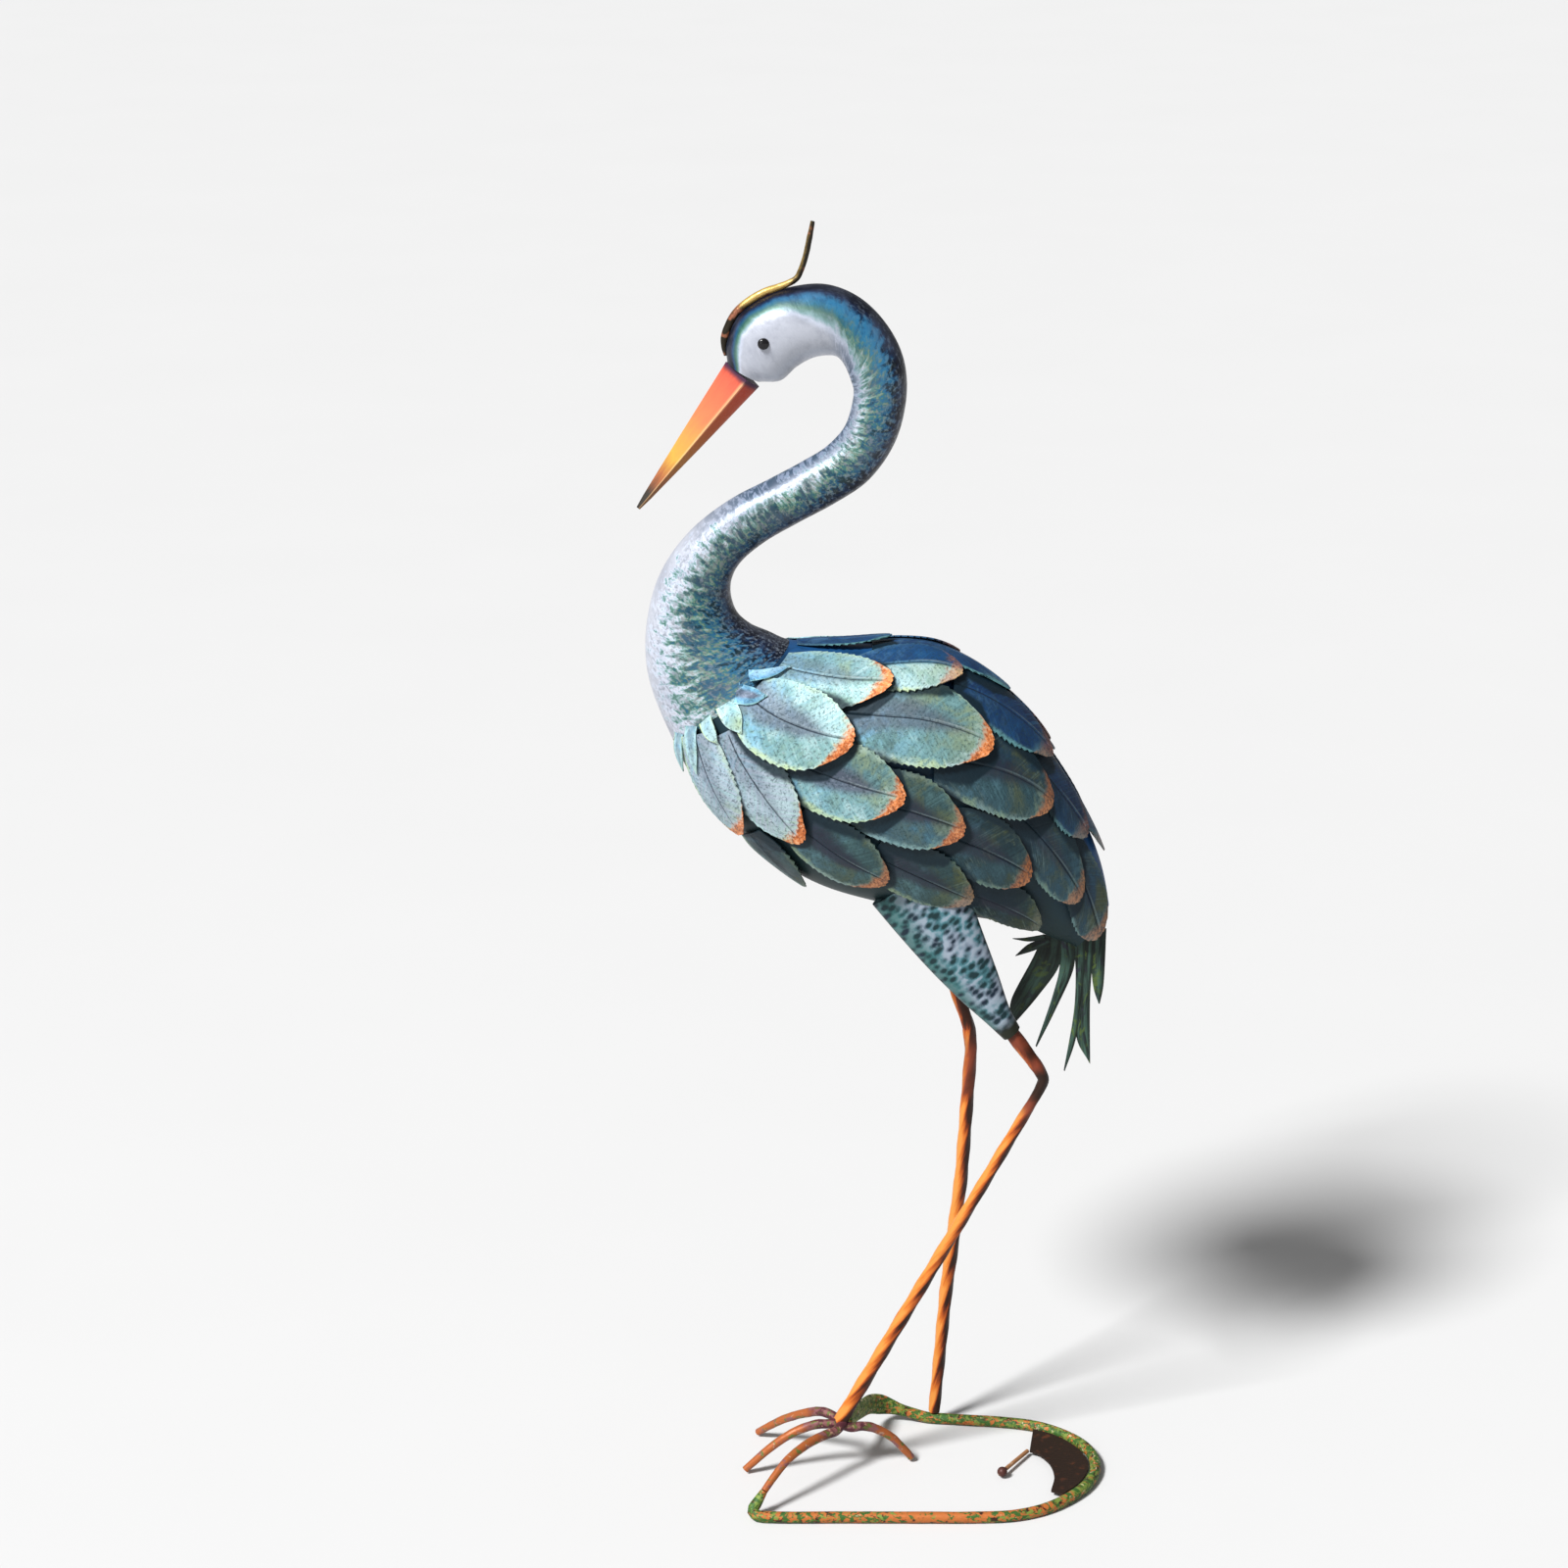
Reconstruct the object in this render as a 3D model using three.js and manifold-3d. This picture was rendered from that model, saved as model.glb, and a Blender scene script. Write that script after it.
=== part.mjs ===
// Garden crane statue of painted sheet metal and bent bar, standing on a bent-rod base.
// Millimetres, +Z up, the floor is Z = 0. The bird looks along -X, and its middle plane is Y = 0
// while it is built.
import * as THREE from "three";
import { mergeVertices } from "three/addons/utils/BufferGeometryUtils.js";
import Module from "manifold-3d";

// Driving dimensions
const CREST_TOP = 1000; // height of the whole statue
const GAP = 0.4; // air kept between pieces that touch
const FEATHER_SHEET = 1; // thickness of a feather
const FEATHER_RISE = 0.075; // how fast a feather lifts off the shell, mm per mm along it
const FEATHER_LIFT = 1.5; // height of a feather's root above the shell
const CREST_ROD = 5.5; // diameter of the crest's rod
const EYE_BEAD = 8.6; // diameter of an eye
const LEG_BAR = 11; // side of the twisted square bar of the legs
const LEG_TURN = 130; // bar length over which it twists once round
const TOE_ROOT = 7.8; // diameter of a toe at the ankle
const TOE_TIP = 5.6; // diameter of a toe at its end
const BASE_ROD = 9; // across the flats of the base's rod
const PIN_ROD = 4.2; // diameter of the ball-ended pin
const PIN_BALL = 8.6; // diameter of its ball
const PLATE_SHEET = 2; // thickness of the crescent plate
const TAIL_SHEET = 1.4; // thickness of the tail fan
// Sides round the neck and the body, and steps along them
const NECK_SIDES = 14;
const NECK_STEPS = 38;
const BODY_SIDES = 20;
const BODY_STEPS = 15;

// Middle of the footprint seen from above, in the bird's frame: the part's origin stands there.
const FOOTPRINT_MIDDLE = { x: 0, y: -24.8 };

// The bird's shell from the face over the neck to the rump, as oval sections across its middle line:
// centre x and z, lean of the section in degrees, half height and half width.
const SECTIONS = [
  [-101.5, 888, 150, 14, 12],
  [-94.2, 896, 145, 24.3, 18.5],
  [-84, 911.2, 139, 28.6, 23.5],
  [-69, 921.6, 129, 29, 25],
  [-51.7, 926.3, 115, 28, 24],
  [-36, 926, 98, 27, 22],
  [-21.3, 917, 79, 26.5, 20.5],
  [-9.2, 902, 55, 24, 19.5],
  [-2, 884.5, 28, 21.3, 19],
  [-2.2, 863.5, 5, 20.2, 18.5],
  [-9.2, 839.7, -18, 19.6, 18],
  [-25, 819, -39, 20, 18],
  [-46.5, 804.5, -51, 19.8, 18],
  [-72, 790.5, -56, 19.6, 18],
  [-98, 776, -54, 20.4, 18.5],
  [-119, 759.5, -44, 21.5, 19.5],
  [-132, 742.5, -29, 24, 21.5],
  [-139.4, 723, -12, 28.4, 24.5],
  [-140.5, 702, 2, 34, 28.5],
  [-136, 684, 13, 41.5, 33.5],
  [-128, 668, 24, 49, 39],
  [-112.5, 644, 40, 58, 46],
  [-91, 621, 54, 72.5, 55],
  [-57, 600, 64, 86.6, 61],
  [-17.6, 584.8, 71, 98.4, 64],
  [22, 573, 76, 100.2, 62.5],
  [62.3, 557, 78, 92.5, 56],
  [99, 536.5, 78, 77.5, 46.5],
  [127, 512.5, 76, 60, 35],
  [150, 483, 69, 42, 23.5],
  [165.5, 453.5, 54, 21.5, 12],
  [176, 426, 50, 11, 8],
];
const HEM_SECTION = 21; // the neck piece ends here and the body begins
const RUMP_SECTION = 30; // the body ends here; the last row only guides the feathers past it
const SPINE_STEPS = 1200;

// Feathers of one side, as places on the shell. Along is mm behind the hem on the middle line,
// round is degrees from the ridge of the back (0) over the side (90) to the belly (180).
const SIDE_FEATHERS = [
  { name: "back_1", root: [4, 40], tip: [113, 39], width: 48.5, lift: 0 },
  { name: "back_2", root: [77, 30], tip: [174, 20], width: 44, lift: 1.6 },
  { name: "back_3", root: [168, 28], tip: [261, 18], width: 43, lift: 3.3 },
  { name: "back_4", root: [241, 38], tip: [306, 32], width: 40, lift: 2 },
  { name: "wing_1", root: [2, 74], tip: [97, 69], width: 62, lift: 1.8 },
  { name: "wing_2", root: [80, 57], tip: [209, 50], width: 64, lift: 0 },
  { name: "wing_3", root: [164, 68], tip: [268, 50], width: 60, lift: 1.5 },
  { name: "wing_4", root: [232, 72], tip: [319, 80], width: 55, lift: 0 },
  { name: "wing_5", root: [280, 62], tip: [355, 80], width: 46, lift: 0.4 },
  { name: "side_1", root: [54, 88], tip: [150, 87], width: 60, lift: 0 },
  { name: "side_2", root: [107, 92], tip: [201, 92], width: 58, lift: 0 },
  { name: "side_3", root: [178, 98], tip: [265, 99], width: 56, lift: 0 },
  { name: "breast_1", root: [1, 125], tip: [59, 146], width: 46, lift: 1.3 },
  { name: "breast_2", root: [11, 101], tip: [93, 122], width: 52, lift: 0 },
  { name: "belly_1", root: [63, 145], tip: [109, 163], width: 40, lift: 0.9 },
  { name: "belly_2", root: [82, 117], tip: [156, 128], width: 54, lift: 0 },
  { name: "belly_3", root: [140, 118], tip: [222, 128], width: 54, lift: 0 },
  { name: "belly_4", root: [211, 127], tip: [291, 133], width: 44, lift: 0 },
];
const RIDGE_FEATHERS = [
  { name: "ridge_1", root: [8, 0], tip: [104, 0], width: 22, lift: 0 },
  { name: "ridge_2", root: [88, 0], tip: [218, 0], width: 36, lift: 0 },
  { name: "ridge_3", root: [170, 0], tip: [264, 0], width: 38, lift: 0 },
  { name: "ridge_4", root: [240, 0], tip: [325, 0], width: 34, lift: 0 },
];
// A feather's half width, as a share of its greatest, in rows from root to tip
const FEATHER_ROWS = [
  { at: 0, half: 0.6 },
  { at: 0.24, half: 0.88 },
  { at: 0.48, half: 1 },
  { at: 0.7, half: 0.97 },
  { at: 0.88, half: 0.79 },
  { at: 1, half: 0.56 },
];
const FEATHER_COLUMNS = [-1, -0.5, 0, 0.5, 1];
const FEATHER_ROUNDING = 0.15; // how far the corners of the last row stay behind the tip

// Middle lines as [x, y, z] on the near side
const NEAR_LEG = [
  [103.2, -38, 378.9],
  [123, -38, 350.5],
  [126.6, -38, 341],
  [123.6, -38, 328.5],
  [-28.1, -32.8, 41.8],
];
const FAR_LEG = [
  [61, 38, 392.1],
  [74, 39.5, 353],
  [76, 40, 334],
  [70, 42, 223],
  [59, 44.5, 118],
  [51, 47, 10.6],
];
// Thickness of a leg as a share of its bar, after so many mm along it
const NEAR_LEG_SIZES = [[0, 1], [32, 0.94], [44, 0.74], [58, 0.66], [110, 0.76], [360, 0.88]];
const FAR_LEG_SIZES = [[0, 0.86], [60, 0.8], [230, 0.87], [395, 0.74]];
// Rings of the near thigh: centre, half depth in the plane of the bird, half width
const THIGH = [
  { centre: [25, -26, 504], half: 38, wide: 12 },
  { centre: [40, -28, 478], half: 33, wide: 13 },
  { centre: [59.5, -32, 445], half: 25.5, wide: 12.5 },
  { centre: [77.5, -35, 416.5], half: 18, wide: 10.5 },
  { centre: [92, -37, 394], half: 11, wide: 8.6 },
  { centre: [102.9, -38, 379.3], half: 7.8, wide: 7.6 },
];
const THIGH_LEAN = 39; // degrees of each ring above the level
const THIGH_CLEAR = 0.6; // air between a thigh and the shell that it is cut by
const FAR_THIGH = [
  { centre: [30, 24, 512], half: 24, wide: 12 },
  { centre: [38, 28, 480], half: 20, wide: 13 },
  { centre: [47, 33, 447], half: 14.5, wide: 11.5 },
  { centre: [55.5, 36, 414], half: 9.5, wide: 8.5 },
  { centre: [60.7, 38, 392.6], half: 7.4, wide: 7.4 },
];
const FAR_THIGH_LEAN = 17;
const THIGH_SIDES = 14;
const LEG_STEP = 9; // step between the rings of a leg, and of a toe
const TOE_STEP = 9;
const TOES = [
  {
    name: "toe_outer",
    path: [
      [-35, -23.5, 44.5],
      [-41, -19, 44.5],
      [-53, -9.5, 38.5],
      [-70, 4, 26.5],
      [-83, 15, 14],
      [-93, 23.5, 3.6],
    ],
  },
  {
    name: "toe_middle",
    path: [
      [-37.5, -35, 42],
      [-44, -35, 42],
      [-54, -35.5, 39.5],
      [-68, -36.5, 33],
      [-83, -37.7, 22],
      [-103, -39.2, 3.6],
    ],
  },
  {
    name: "toe_inner",
    path: [
      [-31.5, -45, 40.5],
      [-40, -52, 41],
      [-56, -69, 40.5],
      [-70, -84, 35.5],
      [-80, -94.5, 27],
      [-86.6, -101.6, 20.2],
    ],
  },
  {
    name: "toe_back",
    path: [
      [-18.5, -34, 38.5],
      [-8, -30, 37.5],
      [3, -26.5, 32.5],
      [15, -23.5, 23.5],
      [23, -21.5, 14],
      [30.5, -19.5, 3.8],
    ],
  },
];
const ROD_HEIGHT = BASE_ROD / 2;
// The base's rod, from the tip of the inner toe round the floor and back up behind the ankle
const BASE_PATH = [
  [-87.8, -102.8, 19],
  [-93, -107.5, 12],
  [-96.5, -110.5, 6.5],
  [-92, -115.5, ROD_HEIGHT],
  [-80, -117.2, ROD_HEIGHT],
  [-30, -117.2, ROD_HEIGHT],
  [30, -117.4, ROD_HEIGHT],
  [75, -117.4, ROD_HEIGHT],
  [106, -115, ROD_HEIGHT],
  [130, -105.5, ROD_HEIGHT],
  [152.5, -87, ROD_HEIGHT],
  [169, -64, ROD_HEIGHT],
  [177, -38, ROD_HEIGHT],
  [175, -14, ROD_HEIGHT],
  [165, 6, ROD_HEIGHT],
  [149, 22, ROD_HEIGHT],
  [132, 32, ROD_HEIGHT],
  [110, 38, ROD_HEIGHT],
  [80, 42, ROD_HEIGHT],
  [48, 46, ROD_HEIGHT],
  [28, 49, 9],
  [12, 47, 15],
  [0, 35, 23],
  [-9, 12, 31],
  [-17, -10, 36.5],
  [-20.5, -22, 38],
];
const BASE_STEP = 12; // step between the rings of the rod
const ROD_SIDES = 8;
const FLAT_START = 100; // the rod is hammered flat over its last stretch up to the ankle,
const FLAT_END = 72; // from this far before its end
const FLAT_WIDTH = 17;
const FLAT_THICKNESS = 6;
const PLATE_OUTER = [
  [131, 25],
  [147, 16],
  [160, 1],
  [169, -17],
  [171, -39],
  [163, -62],
  [148, -82],
];
const PLATE_INNER = [[139, -76], [143, -54], [141, -33], [133, -16], [126, -11]];
const PIN_PATH = [[102, -46.5, 5.5], [124.2, -10.5, 4.5]];
const BEAK_ROOT = [-102.4, 886.4];
const BEAK_END = [-180.5, 784.8];
const BEAK_HALF_DEPTH = 15.6;
const BEAK_HALF_WIDTH = 11.5;
const BEAK_CREASE = -0.24; // height of the side edges, as a share of the half depth
const BEAK_ROWS = [
  { at: 0, size: 1 },
  { at: 0.5, size: 0.58 },
  { at: 0.92, size: 0.2 },
  { at: 1, size: 0.1 },
];
const EYE_PLACE = [-87, 914];
const EYE_SECTION = 2; // the head is as wide there as under the eyes
const EYE_PROFILE = [[0, 0], [1, 0], [0.85, 1.2], [0.5, 2.1], [0, 2.5]]; // shares of its radius, heights
const CREST_SECTIONS = [0.5, 1, 1.7, 2.4, 3.1, 3.6]; // where the crest's rod runs over the head
const CREST_STEP = 7;
// The crest's rod where it leaves the head, and how far the middle of its end face is below the top
const CREST_STALK = [
  [-63, 0, 957.5],
  [-60, 0, 963],
  [-56.5, 0, 973],
  [-53.5, 0, 987],
  [-51.2, 0, 999],
];
const CREST_END_DROP = 0.6;
// The tail fan bends sideways below this height, in mm per mm to either side of its middle
const TAIL_BEND = { top: 440, middle: 140, rate: 1 / 300 };
// Outline of the tail fan, x and z, round its strips
const TAIL_OUTLINE = [
  [121, 449],
  [104.5, 443],
  [118, 440],
  [107, 428],
  [127.5, 440],
  [115, 415],
  [104, 391],
  [103.5, 376],
  [112, 370],
  [126, 395],
  [142, 421],
  [139, 407],
  [124.5, 350],
  [139, 383],
  [153.5, 419],
  [153, 380],
  [146.5, 332],
  [155.5, 363],
  [166.5, 341],
  [165.5, 383],
  [166, 403],
  [172.5, 389.5],
  [175.5, 404],
  [177, 449],
  [170, 454],
  [161, 445],
  [152.5, 435.4],
  [135, 443],
];

const COLOURS = {
  neck: [0x9fb6cc, 0.45, 0.3],
  body: [0x28475a, 0.5, 0.4],
  feather: [0x5f93a0, 0.42, 0.45],
  beak: [0xd97838, 0.45, 0.2],
  crest: [0x8a7440, 0.4, 0.6],
  eye: [0x0b0b0c, 0.2, 0],
  thigh: [0x4f7f99, 0.5, 0.35],
  leg: [0xb9652a, 0.5, 0.4],
  toe: [0xa5654a, 0.5, 0.4],
  rail: [0xb07a3c, 0.6, 0.4],
  plate: [0x3a2a24, 0.6, 0.4],
  tail: [0x35503f, 0.55, 0.35],
};

const statue = new THREE.Group();
statue.position.set(-FOOTPRINT_MIDDLE.x, -FOOTPRINT_MIDDLE.y, 0);

function add(name, geometry, look) {
  const [color, roughness, metalness] = COLOURS[look];
  const material = new THREE.MeshStandardMaterial({ color, roughness, metalness, flatShading: true });
  const mesh = new THREE.Mesh(geometry, material);
  mesh.name = name;
  statue.add(mesh);
  return mesh;
}

// Catmull-Rom curve through rows of numbers, at row number t
function smooth(rows, t) {
  const last = rows.length - 1;
  const i = Math.min(Math.max(Math.floor(t), 0), last - 1);
  const w = t - i;
  const b = rows[i];
  const c = rows[i + 1];
  const a = i > 0 ? rows[i - 1] : b.map((v, k) => 2 * v - c[k]);
  const d = i + 2 <= last ? rows[i + 2] : c.map((v, k) => 2 * v - b[k]);
  return b.map((v, k) => {
    const leave = (c[k] - a[k]) / 2;
    const arrive = (d[k] - v) / 2;
    const cubic = 2 * (v - c[k]) + leave + arrive;
    const square = 3 * (c[k] - v) - 2 * leave - arrive;
    return cubic * w ** 3 + square * w ** 2 + leave * w + v;
  });
}

// Section numbers and lengths along the middle line, for places given in mm
const spine = [{ section: 0, length: 0 }];
for (let i = 1, before = smooth(SECTIONS, 0); i <= SPINE_STEPS; i++) {
  const section = ((SECTIONS.length - 1) * i) / SPINE_STEPS;
  const here = smooth(SECTIONS, section);
  const length = spine[i - 1].length + Math.hypot(here[0] - before[0], here[1] - before[1]);
  spine.push({ section, length });
  before = here;
}

function lengthAt(section) {
  const place = (section / (SECTIONS.length - 1)) * SPINE_STEPS;
  const i = Math.min(Math.floor(place), SPINE_STEPS - 1);
  return THREE.MathUtils.lerp(spine[i].length, spine[i + 1].length, place - i);
}

const HEM_LENGTH = lengthAt(HEM_SECTION);

function sectionAt(along) {
  const length = along + HEM_LENGTH;
  let i = 0;
  while (i < SPINE_STEPS - 1 && spine[i + 1].length < length) i++;
  const share = (length - spine[i].length) / (spine[i + 1].length - spine[i].length);
  return THREE.MathUtils.lerp(spine[i].section, spine[i + 1].section, share);
}

// Point of a section, round degrees from the back over the near side, lift mm off the shell
function sectionPoint(section, round, lift = 0) {
  const [x, z, leanDegrees, halfHeight, halfWidth] = smooth(SECTIONS, section);
  const lean = THREE.MathUtils.degToRad(leanDegrees);
  const turn = THREE.MathUtils.degToRad(round);
  const up = (halfHeight + lift) * Math.cos(turn);
  const out = (halfWidth + lift) * Math.sin(turn);
  return new THREE.Vector3(x + Math.cos(lean) * up, -out, z + Math.sin(lean) * up);
}

function shellPoint(along, round, lift) {
  return sectionPoint(sectionAt(along), round, lift);
}

// Closed geometry from points and faces, turned so that its faces point out
function closed(points, faces) {
  let volume = 0;
  for (let i = 0; i < faces.length; i += 3) {
    const [a, b, c] = [points[faces[i]], points[faces[i + 1]], points[faces[i + 2]]];
    volume += a.dot(new THREE.Vector3().crossVectors(b, c));
  }
  const index = volume < 0 ? faces.map((_, i) => faces[i + 2 - 2 * (i % 3)]) : faces;
  const geometry = new THREE.BufferGeometry().setFromPoints(points);
  geometry.setIndex(index);
  geometry.computeVertexNormals();
  return geometry;
}

// Skin over rings of points, with a flat face at either end
function skin(rings) {
  const sides = rings[0].length;
  const faces = [];
  for (let i = 0; i < rings.length - 1; i++) {
    for (let j = 0; j < sides; j++) {
      const a = i * sides + j;
      const b = i * sides + ((j + 1) % sides);
      faces.push(a, b, b + sides, a, b + sides, a + sides);
    }
  }
  const end = (rings.length - 1) * sides;
  for (let j = 1; j < sides - 1; j++) {
    faces.push(0, j + 1, j);
    faces.push(end, end + j, end + j + 1);
  }
  return closed(rings.flat(), faces);
}

// Sheet between two grids of points, rows running along it
function sheet(under, over) {
  const columns = under[0].length;
  const rows = under.length;
  const layer = rows * columns;
  const faces = [];
  for (let i = 0; i < rows - 1; i++) {
    for (let j = 0; j < columns - 1; j++) {
      const [a, b] = [i * columns + j, i * columns + j + 1];
      const [c, d] = [b + columns, a + columns];
      // The diagonals of the two halves mirror each other
      const halves = j < (columns - 1) / 2 ? [a, b, d, b, c, d] : [a, b, c, a, c, d];
      faces.push(...halves, ...halves.map((k) => k + layer).reverse());
    }
  }
  const rim = [];
  for (let j = 0; j < columns; j++) rim.push(j);
  for (let i = 1; i < rows; i++) rim.push(i * columns + columns - 1);
  for (let j = columns - 2; j >= 0; j--) rim.push((rows - 1) * columns + j);
  for (let i = rows - 2; i > 0; i--) rim.push(i * columns);
  rim.forEach((a, k) => {
    const b = rim[(k + 1) % rim.length];
    faces.push(a, a + layer, b + layer, a, b + layer, b);
  });
  return closed([...under.flat(), ...over.flat()], faces);
}

// Sections of the shell between two section numbers, as one piece
function shellPiece(from, to, steps, sides, lift = 0) {
  const rings = [];
  for (let i = 0; i <= steps; i++) {
    const section = THREE.MathUtils.lerp(from, to, i / steps);
    const ring = [];
    for (let j = 0; j < sides; j++) ring.push(sectionPoint(section, (360 * j) / sides, lift));
    rings.push(ring);
  }
  return skin(rings);
}

// One point of a feather: share of its length, side from -1 to 1, height off its under face
function featherPoint(feather, row, side, height, hand) {
  const [rootAlong, rootRound] = feather.root;
  const [tipAlong, tipRound] = feather.tip;
  const share = row.at * (1 - FEATHER_ROUNDING * side * side);
  const along = THREE.MathUtils.lerp(rootAlong, tipAlong, share);
  const round = THREE.MathUtils.lerp(rootRound, tipRound, share);
  const here = shellPoint(along, round, 0);
  const alongScale = shellPoint(along + 1, round, 0).distanceTo(here);
  const roundScale = shellPoint(along, round + 1, 0).distanceTo(here);
  const run = new THREE.Vector2((tipAlong - rootAlong) * alongScale, (tipRound - rootRound) * roundScale);
  run.normalize();
  const out = (feather.width / 2) * row.half * side;
  const alongOut = along - (run.y * out) / alongScale;
  const roundOut = round + (run.x * out) / roundScale;
  const rise = FEATHER_RISE * Math.max(alongOut - rootAlong, 0);
  const point = shellPoint(alongOut, roundOut, FEATHER_LIFT + feather.lift + rise + height);
  point.y *= hand;
  return point;
}

function featherSheet(feather, hand, under = 0, over = FEATHER_SHEET) {
  const grid = (height) =>
    FEATHER_ROWS.map((row) =>
      FEATHER_COLUMNS.map((side) => featherPoint(feather, row, side, height, hand)),
    );
  return sheet(grid(under), grid(over));
}

// Rings of a bar along a path, the section given by its corners as radius and angle in degrees
function barRings(path, corners, twist = () => 0, size = () => [1, 1]) {
  const points = path.map((p) => new THREE.Vector3(...p));
  const sideBefore = new THREE.Vector3();
  let travelled = 0;
  return points.map((point, i) => {
    const before = points[Math.max(i - 1, 0)];
    const after = points[Math.min(i + 1, points.length - 1)];
    const arrive = point.clone().sub(before).normalize();
    const leave = after.clone().sub(point).normalize();
    const run = arrive.clone().add(leave).normalize();
    const side = new THREE.Vector3(-run.y, run.x, 0);
    if (side.length() < 0.2) side.set(0, 1, 0);
    if (side.dot(sideBefore) < 0) side.negate(); // so that the bar never turns over between rings
    side.normalize();
    const up = new THREE.Vector3().crossVectors(run, side).normalize();
    side.crossVectors(up, run);
    sideBefore.copy(side);
    if (i > 0) travelled += point.distanceTo(before);
    const stretch = i > 0 && i < points.length - 1 ? 1 / Math.max(arrive.dot(run), 0.7) : 1;
    const bend = leave.clone().sub(arrive);
    const sideways = Math.abs(bend.dot(side)) > Math.abs(bend.dot(up));
    return corners.map(([radius, degrees]) => {
      const turn = THREE.MathUtils.degToRad(degrees + twist(travelled));
      const [wide, tall] = size(travelled);
      const across = side.clone().multiplyScalar(radius * wide * Math.cos(turn) * (sideways ? stretch : 1));
      const upright = up.clone().multiplyScalar(radius * tall * Math.sin(turn) * (sideways ? 1 : stretch));
      return point.clone().add(across).add(upright);
    });
  });
}

function roundCorners(diameter, sides) {
  return Array.from({ length: sides }, (_, j) => [diameter / 2, (360 * (j + 0.5)) / sides]);
}

// More points along a path, at about the given step
function finer(path, step) {
  const curve = new THREE.CatmullRomCurve3(path.map((p) => new THREE.Vector3(...p)), false, "centripetal");
  const count = Math.max(Math.round(curve.getLength() / step), 2);
  return curve.getSpacedPoints(count).map((p) => p.toArray());
}

// More points on the straight stretches between the points of a path
function stretched(path, step) {
  const points = [path[0]];
  for (let i = 1; i < path.length; i++) {
    const from = new THREE.Vector3(...path[i - 1]);
    const to = new THREE.Vector3(...path[i]);
    const count = Math.max(Math.round(from.distanceTo(to) / step), 1);
    for (let k = 1; k <= count; k++) points.push(from.clone().lerp(to, k / count).toArray());
  }
  return points;
}

const wasm = await Module();
wasm.setup();

function toSolid(geometry) {
  const bare = geometry.clone();
  bare.deleteAttribute("normal");
  bare.deleteAttribute("uv");
  const merged = mergeVertices(bare, 1e-4);
  const vertProperties = merged.attributes.position.array;
  const triVerts = new Uint32Array(merged.index.array);
  return new wasm.Manifold(new wasm.Mesh({ numProp: 3, vertProperties, triVerts }));
}

function toGeometry(solid) {
  const made = solid.getMesh();
  const geometry = new THREE.BufferGeometry();
  geometry.setAttribute("position", new THREE.BufferAttribute(new Float32Array(made.vertProperties), 3));
  geometry.setIndex(Array.from(made.triVerts));
  geometry.computeVertexNormals();
  return geometry;
}

function buildShell() {
  add("neck_and_head", shellPiece(0, HEM_SECTION, NECK_STEPS, NECK_SIDES), "neck");
  add("body", shellPiece(sectionAt(GAP), RUMP_SECTION, BODY_STEPS, BODY_SIDES), "body");
}

function buildBeak() {
  const run = new THREE.Vector2(BEAK_END[0] - BEAK_ROOT[0], BEAK_END[1] - BEAK_ROOT[1]);
  const length = run.length();
  run.normalize();
  const rings = BEAK_ROWS.map(({ at, size }) => {
    const x = BEAK_ROOT[0] + run.x * length * at;
    const z = BEAK_ROOT[1] + run.y * length * at;
    const point = (up, out) => {
      const rise = up * BEAK_HALF_DEPTH * size;
      return new THREE.Vector3(x + run.y * rise, out * BEAK_HALF_WIDTH * size, z - run.x * rise);
    };
    return [point(1, 0), point(BEAK_CREASE, 1), point(-1, 0), point(BEAK_CREASE, -1)];
  });
  add("beak", skin(rings), "beak");
}

function buildCrest() {
  const lift = CREST_ROD / 2 + 2 * GAP;
  const overHead = CREST_SECTIONS.map((section) => sectionPoint(section, 0, lift).toArray());
  const path = finer([...overHead, ...CREST_STALK], CREST_STEP);
  path[path.length - 1][2] = CREST_TOP - CREST_END_DROP;
  add("crest", skin(barRings(path, roundCorners(CREST_ROD, 6))), "crest");
}

function buildEye(name, hand) {
  const radius = EYE_BEAD / 2;
  const profile = EYE_PROFILE.map(([share, height]) => new THREE.Vector2(share * radius, height));
  const geometry = new THREE.LatheGeometry(profile, 12);
  if (hand < 0) geometry.rotateX(Math.PI);
  const halfWidth = smooth(SECTIONS, EYE_SECTION)[4];
  const eye = add(name, geometry, "eye");
  eye.position.set(EYE_PLACE[0], hand * (halfWidth + GAP), EYE_PLACE[1]);
}

function buildFeathers() {
  for (const feather of RIDGE_FEATHERS) add(`feather_${feather.name}`, featherSheet(feather, 1), "feather");
  for (const feather of SIDE_FEATHERS) {
    add(`feather_${feather.name}_near`, featherSheet(feather, 1), "feather");
    add(`feather_${feather.name}_far`, featherSheet(feather, -1), "feather");
  }
}

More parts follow.
